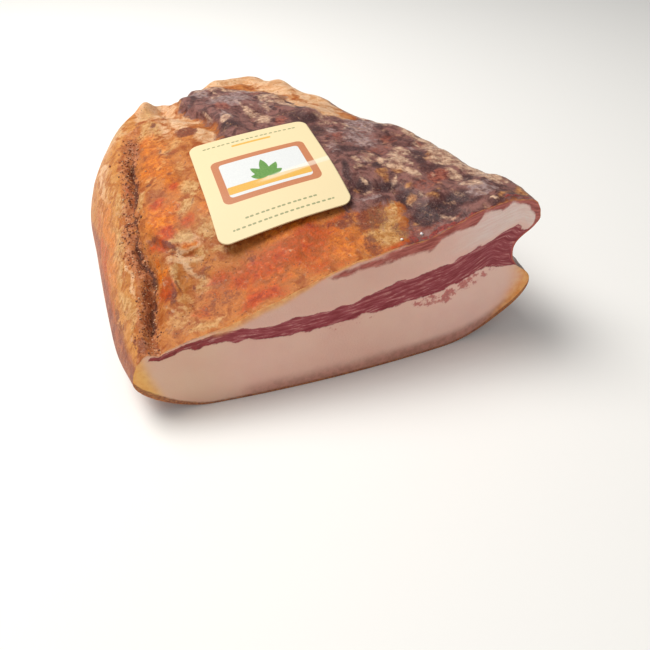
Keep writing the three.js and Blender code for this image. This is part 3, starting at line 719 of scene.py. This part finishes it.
def dried_skin():
    """Skin of a jowl that hung to dry, rubbed with paprika and pepper."""
    # Its fat has turned waxy, amber to orange, with an uneven satin gloss, and some light goes into it. Its
    # lean has shrunk to a dull dark brown with flecks of fat; the lilac patches and pale lilac specks on it are
    # painted sheen. Sizes are in millimetres. Grit is ground spice, really 0.2, which is too fine to show, so it
    # is drawn 0.8. Grain is the fat's crumb, blot and swirl tear the stains' rims, and strand, four times as
    # long as wide, follows the muscle.
    material, add, mm, named = start_material("dried_spiced_jowl", (
        *STAINS, *LEAN_STAINS, "lean", "pepper", "crack", "crease", "wall", "rind", "slit"))
    along = add("Mapping", mm, None, (0, 0, np.radians(17)), (1, 4, 1), vector_type="TEXTURE")
    for noise, spot, size, detail, rough, twist in (
            ("grit", mm, 0.8, 3.0, 0.65, 0.0), ("grain", mm, 2.2, 4.0, 0.62, 0.0),
            ("blot", mm, 5, 4.0, 0.6, 0.7), ("swirl", mm, 9, 4.0, 0.6, 1.8),
            ("strand", along, 2.4, 4.0, 0.65, 0.0)):
        named[noise] = add("TexNoise", spot, 1 / size, detail, rough, 2.0, twist)
    in_lean = add("Math", named["blot"], 11.0, named["lean"], operation="MULTIPLY_ADD")
    in_lean = add("Math", named["grain"], 4.0, in_lean, operation="MULTIPLY_ADD")
    in_lean = add("MapRange", in_lean, 5.6, 9.6, interpolation_type="SMOOTHSTEP")
    # Stains that show on lean only, and grit on lean, which carries specks of painted sheen
    for kind in (*LEAN_STAINS, "grit"):
        named[f"{kind}_on_lean"] = add("Math", named[kind], in_lean, operation="MULTIPLY")
    named["in_lean"] = in_lean

    # The crack in the crease, open where its field is more than the wavering distance from its middle. Its
    # near-black colour is painted shade.
    aside = add("Math", named["grain"], 2.2, named["crease"], operation="MULTIPLY_ADD")
    aside = add("Math", named["blot"], 2.8, aside, operation="MULTIPLY_ADD")
    aside = add("Math", add("Math", aside, 1.8, operation="SUBTRACT"), operation="ABSOLUTE")
    named["open"] = add("Math", named["crack"], 1.15, operation="MULTIPLY")
    named["open"] = add("Math", named["open"], aside, operation="SUBTRACT")

    # Cells 0.9 mm wide, of which some hold a dark speck of pepper and, in the crease, some a pale crumb
    cells = add("TexVoronoi", mm, 1 / 0.9, out="Distance")
    kernel = add("SeparateColor", cells.node.outputs["Color"])
    speck = add("MapRange", cells, 0.45, 0.25, interpolation_type="SMOOTHSTEP")
    often = add("Math", named["pepper"], 0.3, 0.04, operation="MULTIPLY_ADD")
    dark = add("Math", kernel, often, operation="LESS_THAN")
    named["dots"] = add("Math", speck, dark, operation="MULTIPLY")
    pale = add("Math", speck, add("Math", kernel, 0.85, operation="GREATER_THAN"), operation="MULTIPLY")
    named["crumbs"] = add("Math", pale, named["pepper"], operation="MULTIPLY")

    fat = add("Mix", add("MapRange", named["blot"], 0.35, 0.65), "#9b4e1d", "#ca8344", data_type="RGBA")
    soft = (("blot", 1.8), ("grain", 0.9))
    ragged = (("grain", 1.6), ("grit", 0.9))
    torn = (("swirl", 1.7), ("strand", 1.2), ("grain", 0.7), ("grit", 0.5))
    skin = lay_over(add, fat, (
        ("wall", (("blot", 0.8),), 0.3, 0.8, 0.85, "blot", "#ae672e", "#d2954f"),
        ("cream", soft, 0.2, 0.9, 0.95, "blot", "#cc9464", "#e9c49e"),
        ("pale", soft, 0.2, 0.8, 0.85, "grain", "#a9723a", "#dab078"),
        ("orange", soft, 0.0, 1.1, 0.92, "grain", "#be5208", "#e5821a"),
        ("red", soft, 0.1, 1.15, 0.92, "grain", "#982c08", "#ca4a10"),
        ("brown", ragged, 0.4, 0.9, 0.85, "grit", "#542621", "#884632"),
        ("grit", (), 0.56, 0.68, 0.45, "grain", "#68301c", "#98522a"),
        ("grain", (), 0.60, 0.72, 0.3, "grit", "#cc8e4e", "#e6b67c"),
        ("in_lean", (), 0.0, 1.0, 1.0, "blot", "#4e2e2d", "#90625a"),
        # Painted sheen on the lean: lilac-grey patches
        ("lilac_sheen_on_lean", torn, 0.35, 0.95, 0.85, "grain", "#735751", "#ad9492"),
        ("russet_on_lean", torn, 0.35, 0.9, 0.85, "grain", "#6a2a22", "#a65c48"),
        ("dark_on_lean", soft, 0.1, 0.85, 0.9, "grain", "#24171b", "#4a2e30"),
        # Painted sheen: pale lilac specks on the lean, as if its grain glinted
        ("grit_on_lean", (), 0.55, 0.67, 0.3, "grain", "#82605a", "#b8988e"),
        ("amber_on_lean", torn, 0.1, 1.1, 0.9, "grain", "#8a5230", "#c48a56"),
        ("fleck_on_lean", torn, 0.15, 1.05, 0.92, "grain", "#986e5c", "#deba9c"),
        ("crimson_on_lean", ragged, 0.4, 0.8, 0.9, "grit", "#5c1818", "#9a3a30"),
        # Painted shade: darker lines along the grooves
        ("slit", (("grain", 1.8),), 0.7, 1.3, 0.6, "grit", "#4a241c", "#80422c"),
        ("pepper", ragged, 0.25, 1.2, 0.78, "grain", "#874832", "#c48460"),
        # Painted shade: the crack's inside near-black
        ("open", (("grit", 1.2),), -0.1, 0.9, 0.92, "grit", "#280f0d", "#64301f"),
        ("dots", (), 0.0, 1.0, 0.65, "grit", "#44201a", "#6e3e2c"),
        ("crumbs", (), 0.0, 1.0, 0.7, "grit", "#b48468", "#dcb494"),
        ("rind", (("blot", 0.8),), 0.3, 0.8, 0.85, "blot", "#7e4034", "#ac6446"),
    ), named)
    height = add("Math", named["grit"], 0.5, named["grain"], operation="MULTIPLY_ADD")
    height = add("Math", named["blot"], 0.8, height, operation="MULTIPLY_ADD")
    bump = add("Bump", 0.6, 0.0006, None, height)
    shine = add("Math", in_lean, -0.15, named["grit"], operation="MULTIPLY_ADD")
    shine = add("Math", named["pepper"], 0.3, shine, operation="MULTIPLY_ADD")
    shine = add("MapRange", shine, 0.2, 1.0, 0.26, 0.8)
    finish_material(add, skin, shine, bump, ior=1.45, scatter=(0.08, 0.0014), gloss=0.2)
    return material


def cut_face():
    """Fresh cut through firm pork fat and lean."""
    # The fat is pale pink, smooth and satin, and light goes deep into it, which softens its shading. The lean
    # is crimson, with thin lines of fat along it. Both are yellowed where they have dried along the rim. Grit,
    # 0.9 mm, and grain, 2.5 mm, are the knife's drag, and cloud, 16 mm, is the slow change of the fat's tone.
    material, add, mm, named = start_material("cut_jowl", (
        "streak", "upper", "below_edge", "left_end", "right_end", "white", "foot", "gold", "spill",
        "rind_edge", "beige", "lit", "left_streak"))
    along = add("Attribute", attribute_name="along_streak", out="Vector")
    for noise, size, rough in (("grit", 0.9, 0.6), ("grain", 2.5, 0.6), ("cloud", 16, 0.5)):
        named[noise] = add("TexNoise", mm, 1 / size, 3.0, rough)
    named["lines"] = add("TexNoise", add("Mapping", along, None, None, (0.13, 0.9, 1.0)), 1.0, 4.0, 0.65)
    in_streak = add("Math", named["grit"], 0.8, named["streak"], operation="MULTIPLY_ADD")
    in_streak = add("MapRange", in_streak, 0.0, 0.9, interpolation_type="SMOOTHSTEP")
    named["in_streak"] = in_streak
    named["left_streak"] = add("Math", in_streak, named["left_streak"], operation="MULTIPLY")
    named["fat_lines"] = add("Math", in_streak, named["lines"], operation="MULTIPLY")
    named["near_edge"] = add("Math", 1.0, named["below_edge"], operation="SUBTRACT")
    fat = add("Mix", named["cloud"], "#edc7b3", "#e3b0a0", data_type="RGBA")
    cut = lay_over(add, fat, (
        ("beige", (), 0.0, 1.0, 0.6, "cloud", "#dcb898", "#dcb294"),
        # Painted light: the fat paler towards the cut's right end
        ("lit", (), 0.0, 1.0, 0.8, "cloud", "#f6cdbd", "#f2c6b8"),
        ("white", (), 0.0, 1.0, 0.75, "lines", "#ecd0c6", "#f5e4dc"),
        # Painted shade: the fat darker and redder towards the cut's bottom edge
        ("foot", (("cloud", 0.3),), 0.15, 1.15, 0.8, "grain", "#9a5c4a", "#ba7868"),
        ("left_end", (), 0.0, 1.0, 1.0, "grain", "#e6a654", "#efb866"),
        ("right_end", (), 0.0, 1.0, 0.95, "grain", "#f2993f", "#fab96c"),
        ("spill", (("grain", 2.2), ("grit", 1.0)), 0.6, 1.0, 0.8, "grit", "#ac3a3e", "#cc6660"),
        ("in_streak", (), 0.0, 1.0, 1.0, "lines", "#86222e", "#b05258"),
        ("left_streak", (), 0.0, 1.0, 0.8, "grain", "#741410", "#9a2c26"),
        ("fat_lines", (), 0.54, 0.66, 0.7, "grit", "#c47c76", "#d8a298"),
        ("upper", (("grit", 0.8), ("grain", 1.6)), -0.6, 1.2, 0.95, "lines", "#92332c", "#c4685c"),
        ("near_edge", (("grit", 0.8), ("grain", 0.6)), 0.1, 1.0, 0.7, "grain", "#98502e", "#d89c54"),
        ("gold", (("grain", 0.4),), 0.1, 1.0, 0.95, "grain", "#dd9450", "#f2ba78"),
        ("rind_edge", (("grain", 1.2),), -0.7, 0.5, 0.9, "grit", "#7a3c22", "#b4703e"),
    ), named)
    bump = add("Bump", 0.35, 0.0004, None, add("Math", named["grit"], named["lines"], operation="ADD"))
    finish_material(add, cut, 0.4, bump, ior=1.46, scatter=(0.35, 0.0035), gloss=0.35)
    return material


def paper_card():
    """Printed card of coated paper, which gives an even, soft gloss and a faint fibre, 2.2 to the millimetre.
    Each colour lies where its field's signed distance is positive."""
    material, add, mm, named = start_material("printed_card", (
        "panel", "inner", "leaves", "bars", "dots", "fold"))
    named["fibre"] = add("TexNoise", mm, 2.2, 3.0, 0.6)
    ground = add("Mix", named["fibre"], "#e6d2a4", "#e9d7ae", data_type="RGBA")
    print_layers = lay_over(add, ground, (
        ("panel", (), -0.1, 0.1, 1.0, "fibre", "#bd7750", "#c4805a"),
        ("inner", (), -0.1, 0.1, 1.0, "fibre", "#d8dadb", "#e0e2e2"),
        ("bars", (), -0.1, 0.1, 1.0, "fibre", "#dca848", "#e2b256"),
        ("leaves", (), -0.1, 0.1, 1.0, "fibre", "#55893f", "#719c52"),
        ("dots", (), -0.1, 0.1, 0.8, "fibre", "#758258", "#7d8a60"),
        ("fold", (), 0.0, 0.3, 0.5, "fibre", "#efe6d2", "#f6efe0"),
    ), named)
    bump = add("Bump", 0.15, 0.0002, None, named["fibre"])
    finish_material(add, print_layers, 0.5, bump, ior=1.5, scatter=DRY, gloss=0.3)
    return material


def cracked_pepper():
    """Cracked pepper and spice: dry brown husk, with some grains of red spice or of the pale core."""
    material, add, mm, named = start_material("cracked_pepper", ("tone",))
    named["grit"] = add("TexNoise", mm, 1 / 0.3, 2.0, 0.6)
    husk = add("Mix", named["grit"], "#6a3626", "#9c684e", data_type="RGBA")
    grain = lay_over(add, husk, (
        ("tone", (), 0.4, 0.5, 1.0, "grit", "#8e4c34", "#b87650"),
        ("tone", (), 0.76, 0.8, 1.0, "grit", "#b88a66", "#d4ac86"),
    ), named)
    bump = add("Bump", 0.3, 0.0001, None, named["grit"])
    finish_material(add, grain, 0.55, bump, ior=1.5, scatter=DRY, gloss=0.3)
    return material


def salt_crystal():
    """Coarse salt: clear white crystals whose flat sides glint."""
    material, add, mm, _ = start_material("salt_crystal", ())
    salt = add("Mix", add("TexNoise", mm, 1 / 0.3, 2.0, 0.6), "#f2e4d8", "#ffffff", data_type="RGBA")
    finish_material(add, salt, 0.15, None, ior=1.54, scatter=(0.5, 0.001), gloss=0.8)
    return material


def floor_paint():
    """Matt white studio paint, even all over, so that only the shadow shows on it."""
    material, add, _, _ = start_material("white_floor", ())
    finish_material(add, "#f4f3f1", 0.9, None, ior=1.45, scatter=DRY, gloss=0.5)
    return material


def jowl_surface():
    """Top, cut and underside grids, the first two with their fine relief, joined along their edges.
    Returns the points in millimetres, the cells, the named fields and each cell's material slot."""
    top_c, under_c = chord_shares()
    b = np.linspace(0, 1, BACK + 1)[:, None]
    x, y = plan_point(top_c, np.broadcast_to(b, top_c.shape))
    z = top_height(x, y)
    on_top = skin_marks(x, y, z)
    top = drawn_in(x, y, z)
    shift = grid_normals(top) * fine_relief(x, y, z, on_top)[..., None]
    shift[0, :, 1] = 0
    top = top + shift
    ux, uy = plan_point(under_c, np.broadcast_to(b, under_c.shape))
    uz = bottom_height(ux, uy)
    v = np.linspace(0, 1, CUT_ROWS + 1)[1:, None]
    cz = lerp(bottom_height(x[0], y[0]), z[0], v)
    cx, cy = np.broadcast_to(x[0], cz.shape), np.zeros_like(cz)
    on_cut = cut_marks(cx, cy, cz)
    cut = drawn_in(cx, cy, cz)
    cut = cut + (top[0] - cut[-1]) * v[..., None] ** STREAKS.edge_power
    lean = smoothstep(on_cut["streak"], *STREAKS.sunk_rim)
    lean = lean * smoothstep(on_cut["below_edge"], *STREAKS.sunk_below)
    cut[..., 1] += STREAKS.sunk * lean * np.sin(np.pi * v)

    grids = [top, cut, drawn_in(ux, uy, uz)]
    places = [(x, y, z), (cx, cy, cz), (ux, uy, uz)]
    starts = np.cumsum([0] + [grid[..., 0].size for grid in grids])
    low = starts[2] + np.arange(ACROSS // BOTTOM_STEP)[:, None]
    row = starts[1] + BOTTOM_STEP * np.arange(ACROSS // BOTTOM_STEP)[:, None] + np.arange(BOTTOM_STEP + 1)
    fans = [np.hstack([low, row[:, k + 1:k + 2], row[:, k:k + 1]]) for k in range(BOTTOM_STEP)]
    fans.append(np.hstack([low, low + 1, row[:, -1:]]))
    parts = [weave(*grid.shape[:2], start) for grid, start in zip(grids, starts)] + fans
    cells = [cell for part in parts for cell in part.tolist()]
    slots = np.repeat([0, 1, 0] + [1] * len(fans), [len(part) for part in parts])
    marks = [{**skin_marks(*place), **cut_marks(*place)} for place in places]
    fields = {name: np.concatenate([mark[name].ravel() for mark in marks]) for name in marks[0]}
    points = np.concatenate([grid.reshape(-1, 3) for grid in grids])
    fields["along_streak"] = np.stack([points[:, 0], fields.pop("above_middle"), 0 * points[:, 0]], -1)
    return points, cells, fields, slots


def scattered_points(x, y):
    """Points on the finished top at the given places, in millimetres, and the surface's normals there."""
    z = top_height(x, y)
    step = SLOPE_STEP
    slope_x = (top_height(x + step, y) - top_height(x - step, y)) / (2 * step)
    slope_y = (top_height(x, y + step) - top_height(x, y - step)) / (2 * step)
    normal = np.stack([-slope_x, -slope_y, np.ones_like(x)], -1)
    normal = normal / np.linalg.norm(normal, axis=-1, keepdims=True)
    return drawn_in(x, y, z) + normal * fine_relief(x, y, z, skin_marks(x, y, z))[:, None], normal


def random_turns(random, count):
    """Random rotation matrices: Gram-Schmidt on two random vectors, and their cross product."""
    first, second = random.normal(size=(2, count, 3))
    first = first / np.linalg.norm(first, axis=1, keepdims=True)
    second = second - first * (first * second).sum(1, keepdims=True)
    second = second / np.linalg.norm(second, axis=1, keepdims=True)
    return np.stack([first, second, np.cross(first, second)], -1)


def scattered(name, shape_points, shape_cells, places, turns, sizes, tones, material):
    """One piece of many small grains: the same shape turned, sized and moved to each place."""
    count, corners = len(places), len(shape_points)
    grains = np.einsum("gij,gpj->gpi", turns, shape_points[None] * sizes[:, None]) + places[:, None]
    cells = (shape_cells[None] + corners * np.arange(count)[:, None, None]).reshape(-1, shape_cells.shape[1])
    points, fields = place(grains.reshape(-1, 3)), {"tone": np.repeat(tones, corners)}
    piece = mesh_object(name, points, cells.tolist(), fields, np.zeros(len(cells)), [material])
    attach(piece, "root")


def icosahedron():
    """Corners of an icosahedron of radius 1, from three golden rectangles, and its faces, wound outwards."""
    golden = (1 + 5**0.5) / 2
    a, b = [v.ravel() for v in np.meshgrid([-1, 1], [-golden, golden])]
    zero = np.zeros(4)
    corners = np.concatenate([np.stack(order, -1) for order in ((zero, a, b), (a, b, zero), (b, zero, a))])
    corners = corners / np.linalg.norm(corners[0])
    gap = np.linalg.norm(corners[:, None] - corners[None], axis=-1)
    near = (gap > 0.1) & (gap < 1.2)
    faces = []
    for i, j, k in np.ndindex(12, 12, 12):
        if i < j < k and near[i, j] and near[j, k] and near[i, k]:
            outwards = np.cross(corners[j] - corners[i], corners[k] - corners[i]) @ corners[i] > 0
            faces.append((i, j, k) if outwards else (i, k, j))
    return corners, np.array(faces)


def make_pepper():
    """Cracked pepper and spice: small icosahedra, thickest in the crease's left bank, and a few strays."""
    random = np.random.default_rng(PEPPER.seed)
    corners, faces = icosahedron()
    run = random.uniform(0, PEPPER.along, PEPPER.count)
    steps = np.linspace(0, 1, len(CREASE_LINE))
    x, y = (np.interp(run, steps, CREASE_LINE[:, k]) for k in (0, 1))
    x = x - PEPPER.offset + random.normal(0, PEPPER.spread, PEPPER.count)
    wide = random.random(PEPPER.count) < PEPPER.stray
    x = np.where(wide, random.uniform(*PEPPER.stray_x, PEPPER.count), x)
    y = np.where(wide, random.uniform(*PEPPER.stray_y, PEPPER.count), y + random.normal(0, 1, PEPPER.count))
    beside = np.maximum(np.abs(x - CARD.x) - CARD.width / 2, np.abs(y - CARD.y) - CARD.length / 2)
    kept = (beside > PEPPER.off_card) & (y > PEPPER.off_cut)
    x, y = x[kept], y[kept]
    spots, normals = scattered_points(x, y)
    size = random.lognormal(np.log(PEPPER.radius), PEPPER.radius_spread, (len(x), 1))
    sizes = size * random.uniform(*PEPPER.shape, (len(x), 3))
    spots = spots + normals * PEPPER.lift * size
    scattered("pepper", corners, faces, spots, random_turns(random, len(x)), sizes, random.random(len(x)),
              cracked_pepper())


def make_salt():
    """Salt crystals near the cut's upper edge: small boxes."""
    random = np.random.default_rng(SALT.seed)
    corners = np.array(list(np.ndindex(2, 2, 2))) - 0.5
    faces = np.array([(0, 1, 3, 2), (4, 6, 7, 5), (0, 4, 5, 1), (2, 3, 7, 6), (0, 2, 6, 4), (1, 5, 7, 3)])
    x, y = np.array(SALT.places, float).T
    spots, normals = scattered_points(x, y)
    sizes = SALT.size * random.uniform(*SALT.shape, (len(x), 3))
    spots = spots + normals * SALT.lift
    scattered("salt", corners, faces, spots, random_turns(random, len(x)), sizes, random.random(len(x)),
              salt_crystal())


def card_fields(u, v):
    """Printed fields of the card as signed distances in millimetres, positive inside."""
    def box(cx, cy, half_x, half_y, corner):
        """Distance to a box with rounded corners."""
        qx, qy = np.abs(u - cx) - half_x + corner, np.abs(v - cy) - half_y + corner
        return corner - np.hypot(np.maximum(qx, 0), np.maximum(qy, 0)) - np.minimum(np.maximum(qx, qy), 0)

    def leaf(turn):
        """Distance to a leaf from the fan's foot, as wide as a sine along its length."""
        c, s = np.cos(np.radians(turn)), np.sin(np.radians(turn))
        along, across = c * u + s * (v - LEAVES.foot), c * (v - LEAVES.foot) - s * u
        length = LEAVES.length - abs(turn - 90) / LEAVES.shorter
        width = LEAVES.width * np.sin(np.pi * np.clip(along / length, 0, 1)) ** LEAVES.blunt
        beyond = -np.hypot(along - np.clip(along, 0, length), across)
        return np.where((along > 0) & (along < length), width - np.abs(across), beyond)

    gaps = DASHES.gap * (np.cos(2 * np.pi * u / DASHES.every) > DASHES.gap_from)
    return {
        **{name: np.max([box(*sizes) for sizes in boxes], 0) for name, boxes in CARD_BOXES.items()},
        "leaves": np.max([leaf(turn) for turn in LEAVES.turns], 0),
        "dots": np.max([box(0, row, half, DASHES.half, DASHES.half) - gaps for row, half in CARD_ROWS], 0),
    }


def card_height(x, y):
    """Card before it is lifted: a flat sheet with the top's mean slopes, mixed with the smooth top itself."""
    cx, cy, width, length = CARD.x, CARD.y, CARD.width, CARD.length
    to_right = (smooth_crown(cx + width / 2, cy) - smooth_crown(cx - width / 2, cy)) / width
    to_back = (smooth_crown(cx, cy + length / 2) - smooth_crown(cx, cy - length / 2)) / length
    flat = smooth_crown(cx, cy) + (x - cx) * to_right + (y - cy) * to_back
    return lerp(flat, smooth_crown(x, y), CARD.bend)


def card_surface():
    """Card with rounded corners, lying on the highest bumps below it: an upper and a lower grid, 0.5 mm
    apart, and walls between them."""
    half_x, half_y, corner = CARD.width / 2, CARD.length / 2, CARD.corner
    v = np.sin(np.linspace(-1, 1, CARD_CELLS[1] + 1) * CARD_CLOSER) / np.sin(CARD_CLOSER) * half_y
    past = np.clip((np.abs(v) - half_y + corner) / corner, 0, 1)
    half = half_x - corner * (1 - np.sqrt(1 - past**2))
    u = np.linspace(-1, 1, CARD_CELLS[0] + 1) * half[:, None]
    v = np.broadcast_to(v[:, None], u.shape)
    x, y = CARD.x + u, CARD.y + v
    lift = CARD.gap + (top_height(x, y) - card_height(x, y)).max()
    ridge = bell(v - CARD_FOLD.v - CARD_FOLD.slope * u, CARD_FOLD.width) * smoothstep(u, *CARD_FOLD.range)
    low = np.stack([x, y, card_height(x, y) + lift + CARD_FOLD.height * ridge], -1)
    high = low + (0, 0, CARD.thickness)
    grids = [high, low, *(np.stack(pair) for pair in (
        (low[0], high[0]), (low[-1], high[-1]), (low[:, 0], high[:, 0]), (low[:, -1], high[:, -1])))]
    starts = np.cumsum([0] + [grid[..., 0].size for grid in grids])
    cells = np.concatenate([weave(*grid.shape[:2], start) for grid, start in zip(grids, starts)]).tolist()
    points = np.concatenate([grid.reshape(-1, 3) for grid in grids])
    fields = card_fields(points[:, 0] - CARD.x, points[:, 1] - CARD.y)
    fields["fold"] = np.zeros(len(points))
    fields["fold"][:ridge.size] = CARD_FOLD.paler * ridge.ravel()
    return points, cells, fields, np.zeros(len(cells))


def place(points):
    """Move from the cut's frame in millimetres to the part's frame in metres."""
    return (points - PART_ORIGIN) * MM


def make_floor():
    """Plain pale floor, far wider than the object, which isn't part of it."""
    half = FLOOR_WIDTH / 2
    points = np.array([(-half, -half, 0), (half, -half, 0), (half, half, 0), (-half, half, 0)])
    floor = mesh_object("floor", points, [(0, 1, 2, 3)], {}, [0], [floor_paint()])


def make_light(name, place_mm, aim_mm, size, power, colour):
    """Square soft light at a place, turned towards its aim, both in millimetres in the part's frame."""
    lamp = bpy.data.lights.new(name, "AREA")
    lamp.shape, lamp.size, lamp.energy = "SQUARE", size, power
    lamp.color = linear(colour)[:3]
    holder = bpy.data.objects.new(name, lamp)
    way = Vector(aim_mm) - Vector(place_mm)
    turn = way.to_track_quat("-Z", "Y").to_matrix().to_4x4()
    holder.matrix_world = Matrix.Translation(Vector(place_mm) * MM) @ turn
    bpy.context.scene.collection.objects.link(holder)


def make_camera():
    """Camera at the photograph's place: heading right of straight back, then pitch down, then roll."""
    lens = bpy.data.cameras.new("camera")
    lens.sensor_width = CAMERA.sensor
    lens.lens = CAMERA.focal_px / CAMERA.image_px * CAMERA.sensor
    lens.clip_start = 0.01
    camera = bpy.data.objects.new("camera", lens)
    turn = (Matrix.Rotation(-np.radians(CAMERA.heading), 4, "Z")
            @ Matrix.Rotation(np.radians(90 - CAMERA.pitch), 4, "X")
            @ Matrix.Rotation(np.radians(CAMERA.roll), 4, "Z"))
    camera.matrix_world = Matrix.Translation(Vector(place(np.array(CAMERA.place)))) @ turn
    bpy.context.scene.collection.objects.link(camera)
    bpy.context.scene.camera = camera


def make_studio():
    """White surroundings, a large soft light overhead and a weaker one in front."""
    world = bpy.data.worlds.new("studio")
    world.use_nodes = True
    sky = world.node_tree.nodes["Background"].inputs
    sky["Color"].default_value, sky["Strength"].default_value = linear(SKY.colour), SKY.strength
    bpy.context.scene.world = world
    for name, *values in LIGHTS:
        make_light(name, *values)
    bpy.context.scene.view_settings.view_transform = "Standard"


points, cells, fields, slots = jowl_surface()
jowl = mesh_object("jowl", place(points), cells, fields, slots, [dried_skin(), cut_face()])
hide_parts("jowl_block")
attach(jowl, "root")

points, cells, fields, slots = card_surface()
card = mesh_object("card", place(points), cells, fields, slots, [paper_card()])
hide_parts("label_card")
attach(card, "root")

make_pepper()
make_salt()
make_floor()
make_camera()
make_studio()
